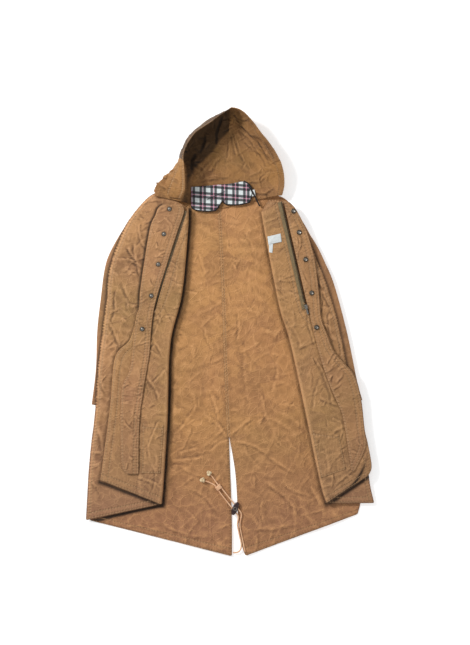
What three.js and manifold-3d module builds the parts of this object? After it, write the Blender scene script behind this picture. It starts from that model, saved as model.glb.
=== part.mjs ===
// A hooded fishtail parka in waxed cotton, laid on its back with both fronts turned open.
// Millimetres. X runs from the wearer's right (-) to the wearer's left (+), Y from hem to hood, Z up.
// The origin is the middle of the coat's length and width, on the surface that it lies on.
import * as THREE from "three";
import { mergeVertices } from "three/addons/utils/BufferGeometryUtils.js";
import Module from "manifold-3d";

const wasm = await Module();
wasm.setup();

// Overall size. The pattern below is drafted at the standard size and graded to these two.
const coatLength = 1290;
const coatWidth = 835;
const standardLength = 1290;
const standardWidth = 835;

// Cloth layers, from the ground up.
const cloth = 4;
const layerGap = 0.3;
const sleeveHeight = 12;
const flyThickness = 3;
const trimThickness = 1.2;

// Fastenings.
const studRadius = 6;
const studHeight = 3;
const socketRadius = 7;
const socketHeight = 2.4;
const socketRecess = 3.2;
const snapCount = 5;
const tapeWidth = 18;
const tapeThickness = 1.2;
const teethWidth = 3;
const teethHeight = 1.4;
const sliderWidth = 9;
const sliderLength = 13;
const sliderClearance = 0.4;
const sliderRoof = 1.4;
const earThickness = 1.2;
const earLength = 4;
const earHeight = 3.2;
const earSink = 0.1;
const pullLength = 18;
const pullWidth = 5;
const pullEyeWidth = 3;
const pullEyeRadius = 1.7;
const pullPinRadius = 0.7;
const pullClearance = 0.3;
const flyClearance = 0.8;

// Drawcord and what is on it.
const cordDiameter = 4;
const strandSpacing = 12;
const lockLength = 40;
const lockWidth = 16;
const lockHeight = 10;
const lockHoleClearance = 0.5;
const tunnelWidth = 22;
const tunnelHeight = 4.2;

// Hood.
const hoodCloth = 3.4;
const hoodSeamGap = 0.4;
const rimRadius = 3;

// Heights of each layer's underside, each worked out from the one below.
const onBack = cloth + layerGap;
const sideFrontZ = onBack + sleeveHeight + layerGap;
const hingeZ = sideFrontZ + cloth + layerGap / 2;
const frontZ = sideFrontZ + cloth + layerGap;
const tapeZ = frontZ + cloth + layerGap;
const teethZ = tapeZ + tapeThickness + layerGap;
const flyZ = teethZ;
const snapZ = flyZ + flyThickness + layerGap;
const sliderTop = teethZ + teethHeight + sliderClearance + sliderRoof;
const pullAxisZ = sliderTop + pullEyeRadius + pullClearance;

const tan = { color: 0xa8774a, roughness: 0.62, metalness: 0 };
const lining = { color: 0xb5814f, roughness: 0.6, metalness: 0 };
const checked = { color: 0xb9a7a4, roughness: 0.9, metalness: 0 };
const black = { color: 0x18120f, roughness: 0.7, metalness: 0 };
const darkTape = { color: 0x3b2e24, roughness: 0.8, metalness: 0 };
const steel = { color: 0x8c8c90, roughness: 0.3, metalness: 1 };
const white = { color: 0xe9ecec, roughness: 0.8, metalness: 0 };
const cordTan = { color: 0xb98258, roughness: 0.7, metalness: 0 };
const cordEnd = { color: 0xdcc49a, roughness: 0.8, metalness: 0 };
const horn = { color: 0x1c1413, roughness: 0.35, metalness: 0 };

const coat = new THREE.Group();

// A place on the standard pattern, graded to this coat's width and length.
function at(x, y) {
  return new THREE.Vector2(
    (x * coatWidth) / standardWidth,
    (y * coatLength) / standardLength,
  );
}

function places(pairs) {
  return pairs.map(([x, y]) => at(x, y));
}

function addMesh(name, geometry, look, parent = coat) {
  const mesh = new THREE.Mesh(geometry, new THREE.MeshStandardMaterial(look));
  mesh.name = name;
  parent.add(mesh);
  return mesh;
}

function extruded(points, low, height) {
  const shape = new THREE.Shape(points);
  const geometry = new THREE.ExtrudeGeometry(shape, {
    depth: height,
    bevelEnabled: false,
  });
  return geometry.translate(0, 0, low);
}

// A flat piece of cloth with the given outline, its underside at height low.
function slab(name, look, points, low, height, parent = coat) {
  return addMesh(name, extruded(points, low, height), look, parent);
}

// The points of a line, each moved sideways by offset: positive is to the right of its direction.
function beside(line, offset) {
  return line.map((point, i) => {
    const before = line[Math.max(i - 1, 0)];
    const after = line[Math.min(i + 1, line.length - 1)];
    const along = after.clone().sub(before).normalize();
    return new THREE.Vector2(
      point.x + along.y * offset,
      point.y - along.x * offset,
    );
  });
}

// A strip of even width that follows a line, from one offset to another.
function strip(line, from, to) {
  return [...beside(line, from), ...beside(line, to).reverse()];
}

function curveThrough(points, closed = false) {
  return new THREE.CatmullRomCurve3(points, closed, "centripetal");
}

// A round bar along a curve, with flat ends.
function tube(curve, radius, steps, sides) {
  const circle = new THREE.Shape();
  for (let i = 0; i < sides; i++) {
    const angle = (2 * Math.PI * (i + 0.5)) / sides;
    const x = radius * Math.cos(angle);
    const y = radius * Math.sin(angle);
    if (i === 0) circle.moveTo(x, y);
    else circle.lineTo(x, y);
  }
  return new THREE.ExtrudeGeometry(circle, {
    steps,
    extrudePath: curve,
    bevelEnabled: false,
  });
}

function solidOf(geometry) {
  const bare = geometry.clone();
  bare.deleteAttribute("normal");
  bare.deleteAttribute("uv");
  const merged = mergeVertices(bare, 1e-4);
  return new wasm.Manifold(
    new wasm.Mesh({
      numProp: 3,
      vertProperties: merged.attributes.position.array,
      triVerts: new Uint32Array(merged.index.array),
    }),
  );
}

function geometryOf(solid) {
  const mesh = solid.getMesh();
  const geometry = new THREE.BufferGeometry();
  geometry.setAttribute(
    "position",
    new THREE.BufferAttribute(mesh.vertProperties, 3),
  );
  geometry.setIndex(new THREE.BufferAttribute(mesh.triVerts, 1));
  geometry.computeVertexNormals();
  return geometry;
}

// A closed skin between an outer and an inner grid of points, both with the same rows and columns.
function skinBetween(outer, inner) {
  const rows = outer.length;
  const columns = outer[0].length;
  const positions = [...outer.flat(), ...inner.flat()].flatMap((p) => p.toArray());
  const index = [];
  const under = rows * columns;
  const id = (row, column, side) => row * columns + column + side * under;
  const quad = (a, b, c, d) => index.push(a, b, c, a, c, d);
  for (let r = 0; r < rows - 1; r++) {
    for (let c = 0; c < columns - 1; c++) {
      quad(id(r, c, 0), id(r, c + 1, 0), id(r + 1, c + 1, 0), id(r + 1, c, 0));
      quad(id(r, c, 1), id(r + 1, c, 1), id(r + 1, c + 1, 1), id(r, c + 1, 1));
    }
  }
  for (let c = 0; c < columns - 1; c++) {
    quad(id(0, c, 0), id(0, c, 1), id(0, c + 1, 1), id(0, c + 1, 0));
    const end = rows - 1;
    quad(id(end, c, 0), id(end, c + 1, 0), id(end, c + 1, 1), id(end, c, 1));
  }
  for (let r = 0; r < rows - 1; r++) {
    quad(id(r, 0, 0), id(r + 1, 0, 0), id(r + 1, 0, 1), id(r, 0, 1));
    const end = columns - 1;
    quad(id(r, end, 0), id(r, end, 1), id(r + 1, end, 1), id(r + 1, end, 0));
  }
  const geometry = new THREE.BufferGeometry();
  geometry.setAttribute(
    "position",
    new THREE.Float32BufferAttribute(positions, 3),
  );
  geometry.setIndex(index);
  return geometry;
}

// Back: two panels that meet at the centre seam and part below it at the vent.
const seamLine = places([
  [-31, 351],
  [-14, -60],
  [-3, -300],
]);
const rightBackEdge = places([
  [5.8, -645],
  [-92, -625],
  [-229, -590],
  [-345, -556],
  [-405, -540],
  [-412, -440],
  [-402, -330],
  [-392, -233],
  [-372, -80],
  [-352, 100],
  [-335, 225],
  [-290, 325],
  [-240, 385],
  [-222, 414],
  [-200, 417],
  [-172, 416],
  [-100, 382],
]);
const rightVentEdge = places([
  [2.9, -451],
  [5.8, -555],
]);
const leftVentEdge = places([
  [17.4, -425],
  [26, -573],
  [43.5, -640],
]);
const leftBackEdge = places([
  [62, -645],
  [101, -625],
  [185, -590],
  [287, -555],
  [368, -521],
  [378, -480],
  [384, -400],
  [380, -300],
  [372, -240],
  [350, -120],
  [322, 0],
  [296, 120],
  [262, 220],
  [225, 300],
  [183, 364],
  [150, 394],
  [96, 393],
  [60, 382],
  [21, 369],
]);
const halfGap = layerGap / 2;
slab(
  "right_back_panel",
  lining,
  [...beside(seamLine, halfGap), ...rightVentEdge, ...rightBackEdge],
  0,
  cloth,
);
slab(
  "left_back_panel",
  lining,
  [...beside(seamLine, -halfGap), ...leftVentEdge, ...leftBackEdge],
  0,
  cloth,
);
const seamHalfWidth = 6;
slab(
  "centre_back_seam",
  lining,
  strip(seamLine, -seamHalfWidth, seamHalfWidth),
  onBack,
  trimThickness,
);

// The hem of each tail is a tunnel for the drawcord.
const tunnelInset = 1;
function hemTunnel(name, line) {
  const outline = strip(line, tunnelInset, tunnelInset + tunnelWidth);
  slab(name, tan, outline, onBack, tunnelHeight);
}
hemTunnel(
  "right_hem_tunnel",
  places([
    [-345, -556],
    [-229, -590],
    [-92, -625],
    [4, -645],
  ]).reverse(),
);
hemTunnel(
  "left_hem_tunnel",
  places([
    [64, -641],
    [101, -625],
    [185, -590],
    [287, -555],
    [350, -529],
  ]).reverse(),
);

// Side fronts: outer face up, from the outermost fold of the body to the line where the front turns back.
const rightTurn = places([
  [-122, 349],
  [-123, 286],
  [-139, 112],
  [-172, -30],
  [-180, -248],
  [-191, -425],
  [-197, -493],
]);
const leftTurn = places([
  [92.8, 345],
  [110, 239],
  [128, 146],
  [146, 62],
  [180, -54],
  [255, -410],
  [278, -491],
]);
const rightSideEdge = places([
  [-287, -515],
  [-414, -543.5],
  [-417.5, -538],
  [-408, -400],
  [-400, -312],
  [-390, -233],
  [-380, -80],
  [-368, 10],
  [-358, 97],
  [-350, 180],
  [-325, 255],
  [-292, 325],
  [-242, 385],
  [-225, 414],
  [-200, 416],
  [-150, 390],
]);
const leftSideEdge = places([
  [417.5, -490],
  [406, -433],
  [397, -399],
  [395, -350],
  [385, -277],
  [375, -207],
  [345, -120],
  [325, -20],
  [300, 80],
  [270, 170],
  [235, 250],
  [200, 320],
  [170, 372],
  [140, 384],
]);
slab("right_side_front", tan, [...rightTurn, ...rightSideEdge], sideFrontZ, cloth);
slab("left_side_front", tan, [...leftTurn, ...leftSideEdge], sideFrontZ, cloth);

// The body's side seams stand between the back and the side fronts, below the cuffs.
const sideSeamWidth = 6;
const rightSideSeam = places([
  [-394, -240],
  [-402, -330],
  [-411, -440],
  [-408, -520],
]);
const leftSideSeam = places([
  [371, -245],
  [380, -320],
  [382, -400],
  [372, -480],
]);
slab(
  "right_side_seam",
  tan,
  strip(rightSideSeam, -sideSeamWidth, 0),
  onBack,
  sleeveHeight,
);
slab(
  "left_side_seam",
  tan,
  strip(leftSideSeam, 0, sideSeamWidth),
  onBack,
  sleeveHeight,
);
const shoulderSeamWidth = 9;
const rightShoulderSeam = places([
  [-168, 398],
  [-212, 409],
]);
const leftShoulderSeam = places([
  [128, 374],
  [160, 372],
]);
slab(
  "right_shoulder_seam",
  tan,
  strip(rightShoulderSeam, 0, -shoulderSeamWidth),
  onBack,
  sleeveHeight,
);
slab(
  "left_shoulder_seam",
  tan,
  strip(leftShoulderSeam, 0, shoulderSeamWidth),
  onBack,
  sleeveHeight,
);

// Sleeves: each is a tube pressed flat, of an upper and an under layer with a fold along each side.
const sleeveFoldWidth = 8;
const rightSleeveOuter = places([
  [-300, 300],
  [-342, 245],
  [-362, 190],
  [-374, 100],
  [-384, 10],
  [-388, -103],
  [-400, -205],
]);
const rightSleeveInner = places([
  [-215, 262],
  [-232, 120],
  [-262, -50],
  [-292, -220],
]);
const leftSleeveOuter = places([
  [212, 312],
  [247, 262],
  [273, 210],
  [302, 140],
  [339, 2],
  [368, -138],
  [382, -190],
]);
const leftSleeveInner = places([
  [148, 250],
  [166, 120],
  [214, -50],
  [262, -216],
]);
function sleeve(side, outer, inner, outward) {
  const outline = [...outer, ...[...inner].reverse()];
  const upperLow = onBack + sleeveHeight - flyThickness;
  const wallLow = onBack + flyThickness + layerGap;
  const wallHeight = sleeveHeight - 2 * (flyThickness + layerGap);
  slab(side + "_sleeve_under", tan, outline, onBack, flyThickness);
  slab(side + "_sleeve_upper", tan, outline, upperLow, flyThickness);
  const outerFold = strip(outer, 0, outward * sleeveFoldWidth);
  slab(side + "_sleeve_outer_fold", tan, outerFold, wallLow, wallHeight);
  const innerFold = strip(inner, 0, -outward * sleeveFoldWidth);
  slab(side + "_sleeve_inner_fold", tan, innerFold, wallLow, wallHeight);
}
sleeve("right", rightSleeveOuter, rightSleeveInner, -1);
sleeve("left", leftSleeveOuter, leftSleeveInner, 1);

// Turned-back fronts: inner face up, from the turn to the free edge.
const rightZipTop = at(-124, 352);
const rightZipBottom = at(-219, 68);
const leftZipTop = at(149, 380);
const leftZipBottom = at(220, 71);

// A frame with Y along a zip, from its bottom end to its top end.
function zipFrame(bottom, top) {
  const along = top.clone().sub(bottom);
  const group = new THREE.Group();
  group.position.set(bottom.x, bottom.y, 0);
  group.rotation.z = Math.atan2(along.y, along.x) - Math.PI / 2;
  coat.add(group);
  return { group, length: along.length() };
}

// The place that lies across and along from the bottom end of a zip.
function alongZip(bottom, top, across, along) {
  const direction = top.clone().sub(bottom).normalize();
  return new THREE.Vector2(
    bottom.x + direction.x * along + direction.y * across,
    bottom.y + direction.y * along - direction.x * across,
  );
}

const rightFreeEdge = places([
  [-316, -439],
  [-374, -422],
  [-357, -297],
  [-345, -201],
  [-331, -68],
  [-290, -20],
  [-266, 40],
]);
const leftFreeEdge = places([
  [354, -445],
  [400, -407],
  [409, -381],
  [394, -312],
  [388, -277],
  [378, -190],
  [360, -122],
  [328, -83],
  [299, -48],
  [280, -1],
  [262, 30],
]);
slab(
  "right_front_panel",
  lining,
  [...rightTurn, ...rightFreeEdge, rightZipBottom, rightZipTop],
  frontZ,
  cloth,
);
slab(
  "left_front_panel",
  lining,
  [...leftTurn, ...leftFreeEdge, leftZipBottom, leftZipTop],
  frontZ,
  cloth,
);

function zipTape(side, frame, teethAt) {
  const tape = new THREE.BoxGeometry(tapeWidth, frame.length, tapeThickness);
  tape.translate(0, frame.length / 2, tapeZ + tapeThickness / 2);
  addMesh(side + "_zip_tape", tape, darkTape, frame.group);
  const teeth = new THREE.BoxGeometry(teethWidth, frame.length, teethHeight);
  teeth.translate(teethAt, frame.length / 2, teethZ + teethHeight / 2);
  addMesh(side + "_zip_teeth", teeth, steel, frame.group);
}
const flyEdge = sliderWidth / 2 + flyClearance;
const rightTeethShift = 3;
const rightZip = zipFrame(rightZipBottom, rightZipTop);
const leftZip = zipFrame(leftZipBottom, leftZipTop);
zipTape("right", rightZip, rightTeethShift);
zipTape("left", leftZip, 0);

// A round bar that lies across the zip at the height of the pull's axis.
function crossBar(radius, length, sides) {
  const bar = new THREE.CylinderGeometry(radius, radius, length, sides);
  bar.rotateZ(Math.PI / 2);
  bar.translate(0, sliderLength / 2, pullAxisZ);
  return solidOf(bar);
}

// Slider with a channel over the teeth, and two ears that hold the pull's pin.
function zipSlider(parent) {
  const bodyHeight = sliderTop - teethZ;
  const body = new THREE.BoxGeometry(sliderWidth, sliderLength, bodyHeight);
  body.translate(0, sliderLength / 2, teethZ + bodyHeight / 2);
  const channelWidth = teethWidth + 2 * sliderClearance;
  const channelDepth = teethHeight + sliderClearance;
  const channel = new THREE.BoxGeometry(channelWidth, 2 * sliderLength, 2 * channelDepth);
  channel.translate(0, sliderLength / 2, teethZ);
  let solid = solidOf(body).subtract(solidOf(channel));
  const earOffset = pullEyeWidth / 2 + pullClearance + earThickness / 2;
  for (const side of [-1, 1]) {
    const ear = new THREE.BoxGeometry(earThickness, earLength, earHeight + earSink);
    ear.translate(
      side * earOffset,
      sliderLength / 2,
      sliderTop + (earHeight - earSink) / 2,
    );
    solid = solid.add(solidOf(ear));
  }
  solid = solid.add(crossBar(pullPinRadius, 2 * earOffset, 12));
  addMesh("zip_slider", geometryOf(solid), steel, parent);
}

function zipPull(parent) {
  const stemLength = earLength + 2;
  const stem = new THREE.BoxGeometry(pullEyeWidth, stemLength, trimThickness);
  stem.translate(0, (sliderLength - stemLength) / 2 - pullEyeRadius + 1, pullAxisZ);
  const plate = new THREE.BoxGeometry(pullWidth, pullLength, trimThickness);
  plate.translate(
    0,
    sliderLength / 2 - pullEyeRadius - earLength - pullLength / 2,
    pullAxisZ,
  );
  const solid = crossBar(pullEyeRadius, pullEyeWidth, 16)
    .add(solidOf(stem))
    .subtract(crossBar(pullPinRadius + pullClearance, 2 * pullWidth, 16))
    .add(solidOf(plate));
  addMesh("zip_pull", geometryOf(solid), steel, parent);
}
zipSlider(leftZip.group);
zipPull(leftZip.group);
const boxSize = 7;
const zipBox = new THREE.BoxGeometry(sliderWidth, boxSize, trimThickness);
zipBox.translate(0, -boxSize / 2 - 1, tapeZ + trimThickness / 2);
addMesh("zip_box", zipBox, steel, leftZip.group);

// Flies: the stud fly is sewn down on the right front, the storm flap carries the sockets on the left.
const rightFlyOutline = [
  alongZip(rightZipBottom, rightZipTop, -1, rightZip.length + 3),
  alongZip(rightZipBottom, rightZipTop, -1, 0),
  ...places([
    [-231, -57],
    [-235, -88],
    [-249, -167],
    [-260, -257],
    [-263, -404],
    [-296, -400],
    [-313, -367],
    [-313, -167],
    [-287, -103],
    [-276, -1],
    [-269, 50],
    [-261, 74],
    [-257, 143],
    [-241, 262],
    [-229, 306],
    [-210, 352],
    [-198, 368],
    [-168, 371],
  ]),
];
slab("right_fly", tan, rightFlyOutline, flyZ, flyThickness);
const leftFlyOutline = [
  alongZip(leftZipBottom, leftZipTop, flyEdge, leftZip.length),
  alongZip(leftZipBottom, leftZipTop, flyEdge, -2),
  ...places([
    [256, -59],
    [284, -146],
    [308, -201],
    [324, -245],
    [350, -398],
    [362, -392],
    [382, -350],
    [391, -312],
    [385, -277],
    [375, -190],
    [357, -124],
    [326, -86],
    [296, -50],
    [277, -1],
    [262, 45],
    [256, 112],
    [243, 213],
    [218, 300],
    [190, 356],
    [172, 377],
  ]),
];
slab("left_fly", tan, leftFlyOutline, flyZ, flyThickness);

function lathed(profile) {
  const points = profile.map(([radius, height]) => new THREE.Vector2(radius, height));
  return new THREE.LatheGeometry(points, 24).rotateX(Math.PI / 2);
}

const studPlaces = places([
  [-174, 358],
  [-190, 286],
  [-206, 199],
  [-226, 109],
  [-252, 13],
]);
const socketPlaces = places([
  [183, 352],
  [199, 291],
  [217.5, 213],
  [235, 117],
  [249, 18],
]);
for (let i = 0; i < snapCount; i++) {
  const stud = lathed([
    [0, 0],
    [studRadius, 0],
    [studRadius, studHeight * 0.35],
    [studRadius * 0.5, studHeight * 0.55],
    [studRadius * 0.5, studHeight],
    [0, studHeight],
  ]);
  const studMesh = addMesh("snap_stud_" + (i + 1), stud, steel);
  studMesh.position.set(studPlaces[i].x, studPlaces[i].y, snapZ);
  const socket = lathed([
    [0, 0],
    [socketRadius, 0],
    [socketRadius, socketHeight * 0.6],
    [socketRadius * 0.75, socketHeight],
    [socketRecess, socketHeight],
    [socketRecess, socketHeight * 0.4],
    [0, socketHeight * 0.4],
  ]);
  const socketMesh = addMesh("snap_socket_" + (i + 1), socket, steel);
  socketMesh.position.set(socketPlaces[i].x, socketPlaces[i].y, snapZ);
}

// Labels and inner pockets on the turned-back fronts.
const labelLow = frontZ + cloth + layerGap;
function label(name, centre, width, height, turn) {
  const plate = new THREE.BoxGeometry(width, height, trimThickness);
  const mesh = addMesh(name, plate, white);
  mesh.position.set(centre.x, centre.y, labelLow + trimThickness / 2);
  mesh.rotation.z = turn;
}
label("main_label", at(140, 259), 36, 52, 0.22);
label("care_label", at(136, 212), 14, 12, 0.3);
const pocketCloth = 2;
slab(
  "left_inner_pocket",
  lining,
  places([
    [238, -274],
    [314, -290],
    [334, -390],
    [262, -416],
    [232, -326],
  ]),
  labelLow,
  pocketCloth,
);
slab(
  "right_inner_pocket",
  lining,
  places([
    [-252, -258],
    [-254, -402],
    [-200, -402],
    [-190, -262],
  ]),
  labelLow,
  pocketCloth,
);

// Hood: two halves joined along the crown seam, opened upwards, with a bound rim.
const hoodRows = 22;
const hoodColumns = 14;
const hoodFloorShare = 0.62;
const rimSteps = 30;
const rimSides = 8;
const rimStandOff = 0.8;
const rimEndGap = 2.2;
function spot(x, y, z) {
  const place = at(x, y);
  return new THREE.Vector3(place.x, place.y, z);
}
const crownSeam = [at(-32, 353), at(4, 645)];
function seamX(y) {
  const [low, high] = crownSeam;
  return low.x + ((y - low.y) * (high.x - low.x)) / (high.y - low.y);
}
const hoodSpine = curveThrough([spot(-32, 353, 0), spot(-18, 470, 0), spot(-6, 565, 0)]);
const hoodHalves = {
  right: {
    side: -1,
    rim: curveThrough([
      spot(-128, 398, 46),
      spot(-128, 450, 62),
      spot(-129, 512, 74),
      spot(-102, 562, 78),
      spot(-55, 598, 72),
      spot(-20, 622, 64),
      spot(1, 644, 60),
    ]),
    flare: curveThrough([
      spot(-214, 438, 0),
      spot(-190, 462, 0),
      spot(-152, 512, 0),
      spot(-132, 562, 0),
      spot(-76, 612, 0),
      spot(-30, 636, 0),
      spot(2, 645, 0),
    ]),
  },
  left: {
    side: 1,
    rim: curveThrough([
      spot(148, 406, 24),
      spot(156, 440, 32),
      spot(150, 480, 38),
      spot(126, 528, 44),
      spot(88, 574, 50),
      spot(50, 612, 56),
      spot(3, 644, 60),
    ]),
    flare: curveThrough([
      spot(112, 402, 0),
      spot(118, 440, 0),
      spot(114, 480, 0),
      spot(98, 522, 0),
      spot(72, 566, 0),
      spot(44, 608, 0),
      spot(4, 645, 0),
    ]),
  },
};

// Height of the hood's skin between its rim (share 0) and its spine (share 1).
function hoodHeight(rimHeight, share) {
  const rise = Math.max(0, 1 - share / hoodFloorShare);
  return rimHeight * rise ** 1.5;
}

// Outer and inner grids of points of one half of the hood, each row from rim to spine.
function hoodGrids(half) {
  const outer = [];
  for (let row = 0; row <= hoodRows; row++) {
    const share = row / hoodRows;
    const rim = half.rim.getPointAt(share);
    const flare = half.flare.getPointAt(share);
    const spine = hoodSpine.getPointAt(share);
    const profile = new THREE.CubicBezierCurve3(
      rim,
      flare,
      flare.clone().lerp(spine, 0.06),
      spine,
    );
    const points = profile.getPoints(hoodColumns);
    points.forEach((point, c) => point.setZ(hoodHeight(rim.z, c / hoodColumns)));
    outer.push(points);
  }
  const inner = outer.map((row, r) =>
    row.map((point, c) => {
      const before = outer[Math.max(r - 1, 0)][c];
      const after = outer[Math.min(r + 1, hoodRows)][c];
      const alongRim = after.clone().sub(before);
      const down = row[Math.min(c + 1, hoodColumns)].clone().sub(row[Math.max(c - 1, 0)]);
      const inward = alongRim.cross(down).normalize().multiplyScalar(half.side);
      const moved = point.clone().addScaledVector(inward, hoodCloth);
      return moved.setZ(Math.max(moved.z, 0.9 * hoodCloth));
    }),
  );
  const bound = (point) => {
    const limit = seamX(point.y) + (half.side * hoodSeamGap) / 2;
    const kept = half.side < 0 ? Math.min(point.x, limit) : Math.max(point.x, limit);
    return point.setX(kept);
  };
  outer.forEach((row) => row.forEach(bound));
  inner.forEach((row) => row.forEach(bound));
  return { outer, inner };
}

// One half of the hood, and the bound rim that runs along its free edge up to the crown seam.
function hoodHalf(name, half) {
  const { outer, inner } = hoodGrids(half);
  const [first, second] = half.side < 0 ? [inner, outer] : [outer, inner];
  addMesh(name + "_half", skinBetween(first, second), tan);
  const line = [];
  for (let row = 0; row <= hoodRows; row += 2) {
    const edge = outer[row][0];
    const outwards = edge.clone().sub(outer[row][1]).normalize();
    const middle = edge.clone().lerp(inner[row][0], 0.5);
    line.push(middle.addScaledVector(outwards, rimRadius + rimStandOff));
  }
  const last = line[line.length - 1];
  last.x = seamX(last.y) + half.side * rimEndGap;
  addMesh(name + "_rim", tube(curveThrough(line), rimRadius, rimSteps, rimSides), tan);
}
hoodHalf("hood_right", hoodHalves.right);
hoodHalf("hood_left", hoodHalves.left);

// Neck: the checked collar lining with its piped lower edge, and a tab at its end.
const neckLow = Math.max(hoodCloth, cloth) + layerGap;
const neckEdge = places([
  [-112, 390],
  [-100, 374],
  [-70, 369],
  [-32, 367],
  [10, 372],
  [44, 384],
]);
slab(
  "neck_band",
  checked,
  [
    ...neckEdge,
    ...places([
      [56, 414],
      [29, 434],
      [-43, 439],
      [-112, 433],
    ]),
  ],
  neckLow,
  cloth,
);
const pipingRadius = 2;
const pipingLine = beside(neckEdge, pipingRadius + layerGap).map(
  (p) => new THREE.Vector3(p.x, p.y, neckLow + pipingRadius),
);
addMesh("neck_piping", tube(curveThrough(pipingLine), pipingRadius, 24, 8), black);
slab(
  "size_tab",
  white,
  places([
    [56, 392],
    [70, 388],
    [74, 408],
    [60, 410],
  ]),
  neckLow,
  trimThickness,
);

// Drawcord: one strand leaves each tail, both pass the lock and the wrap knot, and each ends in a knot.
const cordRadius = cordDiameter / 2;
const strandZ = onBack + lockHeight / 2;
const lockCentre = at(15, -506);
const strandDirection = new THREE.Vector2(-0.62, 0.785).normalize();
const strandAcross = new THREE.Vector2(strandDirection.y, -strandDirection.x);
const wrapDistance = 78;
const wrapRadius = 6;
const wrapLength = 14;
const lockTurn = THREE.MathUtils.degToRad(67);

// A place beside the lock, along and across the strands that pass it.
function nearLock(along, across, z = strandZ) {
  const place = lockCentre
    .clone()
    .addScaledVector(strandDirection, along)
    .addScaledVector(strandAcross, across);
  return new THREE.Vector3(place.x, place.y, z);
}

const cordSides = 8;
const strandHalf = strandSpacing / 2;
const wrapFace = wrapDistance - wrapLength / 2 - layerGap;
const restingZ = onBack + cordRadius + layerGap;
const tunnelMiddle = onBack + tunnelHeight / 2;
const rightRoute = [
  spot(8.5, -634, tunnelMiddle),
  spot(16, -635, 5.4),
  spot(26, -633, 5.6),
  spot(33, -622, restingZ),
  spot(33, -606, restingZ),
  spot(28, -586, restingZ),
  spot(24, -566, restingZ),
  spot(20, -550, 6.9),
  nearLock(-26, -strandHalf, 8.2),
  nearLock(-14, -strandHalf),
  nearLock(0, -strandHalf),
  nearLock(wrapFace * 0.5, -strandHalf),
  nearLock(wrapFace, -strandHalf),
];
const leftRoute = [
  spot(44, -631, tunnelMiddle),
  spot(41, -620, restingZ),
  spot(38.5, -606, restingZ),
  spot(34, -586, restingZ),
  spot(30, -566, restingZ),
  spot(27.5, -548, 6.9),
  nearLock(-26, strandHalf, 8.2),
  nearLock(-14, strandHalf),
  nearLock(0, strandHalf),
  nearLock(wrapFace * 0.5, strandHalf),
  nearLock(wrapFace, strandHalf),
];
const tipStart = wrapDistance + wrapLength / 2 + 4 * layerGap;
const rightTipRoute = [
  nearLock(tipStart, -3.4, strandZ),
  nearLock(tipStart + 8, -6, 8),
  nearLock(tipStart + 20, -12, restingZ),
  nearLock(tipStart + 30, -19, restingZ),
];
const leftTipRoute = [
  nearLock(tipStart, 3.4, strandZ),
  nearLock(tipStart + 8, 4, 8),
  nearLock(tipStart + 22, 5, restingZ),
  nearLock(tipStart + 34, 4, restingZ),
];
addMesh("drawcord_right", tube(curveThrough(rightRoute), cordRadius, 44, cordSides), cordTan);
addMesh("drawcord_left", tube(curveThrough(leftRoute), cordRadius, 40, cordSides), cordTan);
addMesh("drawcord_right_tip", tube(curveThrough(rightTipRoute), cordRadius, 8, cordSides), cordTan);
addMesh("drawcord_left_tip", tube(curveThrough(leftTipRoute), cordRadius, 8, cordSides), cordTan);

function endKnot(name, route) {
  const end = route[route.length - 1];
  const along = end.clone().sub(route[route.length - 2]).setZ(0).normalize();
  const knot = new THREE.SphereGeometry(knotRadius, 14, 10);
  knot.scale(1.5, 1, 0.9);
  const mesh = addMesh(name, knot, cordEnd);
  mesh.position.copy(end).addScaledVector(along, knotRadius * 1.5 + layerGap);
  mesh.position.z = onBack + knotRadius + layerGap;
  mesh.rotation.z = Math.atan2(along.y, along.x);
}
const knotRadius = 5;
endKnot("drawcord_right_knot", rightTipRoute);
endKnot("drawcord_left_knot", leftTipRoute);

const wrapOutline = new THREE.Shape();
const wrapHalfWidth = strandHalf + cordRadius + 1.5;
wrapOutline.absarc(wrapHalfWidth - wrapRadius, 0, wrapRadius, -Math.PI / 2, Math.PI / 2);
wrapOutline.absarc(wrapRadius - wrapHalfWidth, 0, wrapRadius, Math.PI / 2, (3 * Math.PI) / 2);
const wrap = new THREE.ExtrudeGeometry(wrapOutline, {
  depth: wrapLength,
  bevelEnabled: false,
  curveSegments: 6,
});
wrap.translate(0, 0, -wrapLength / 2);
wrap.scale(1, 0.78, 1);
wrap.rotateX(Math.PI / 2);
const wrapMesh = addMesh("cord_wrap_knot", wrap, cordTan);
wrapMesh.position.copy(nearLock(wrapDistance, 0));
wrapMesh.rotation.z = Math.atan2(strandDirection.y, strandDirection.x) - Math.PI / 2;

function cordLock() {
  const outline = new THREE.Shape();
  const straight = (lockLength - lockWidth) / 2;
  outline.absarc(straight, 0, lockWidth / 2, -Math.PI / 2, Math.PI / 2);
  outline.absarc(-straight, 0, lockWidth / 2, Math.PI / 2, (3 * Math.PI) / 2);
  const body = new THREE.ExtrudeGeometry(outline, {
    depth: lockHeight,
    bevelEnabled: false,
    curveSegments: 8,
  });
  body.rotateZ(lockTurn);
  body.translate(lockCentre.x, lockCentre.y, onBack);
  let solid = solidOf(body);
  for (const side of [-1, 1]) {
    const radius = cordRadius + lockHoleClearance;
    const bore = new THREE.CylinderGeometry(radius, radius, 3 * lockWidth, 12);
    bore.rotateZ(Math.atan2(strandDirection.y, strandDirection.x) - Math.PI / 2);
    const place = nearLock(0, side * strandHalf);
    bore.translate(place.x, place.y, place.z);
    solid = solid.subtract(solidOf(bore));
  }
  addMesh("cord_lock", geometryOf(solid), horn);
}
cordLock();

export default coat;
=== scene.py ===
import math
import random
import bmesh
import bpy
import numpy as np
from mathutils import Matrix, Vector, noise
from mathutils.bvhtree import BVHTree


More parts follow.
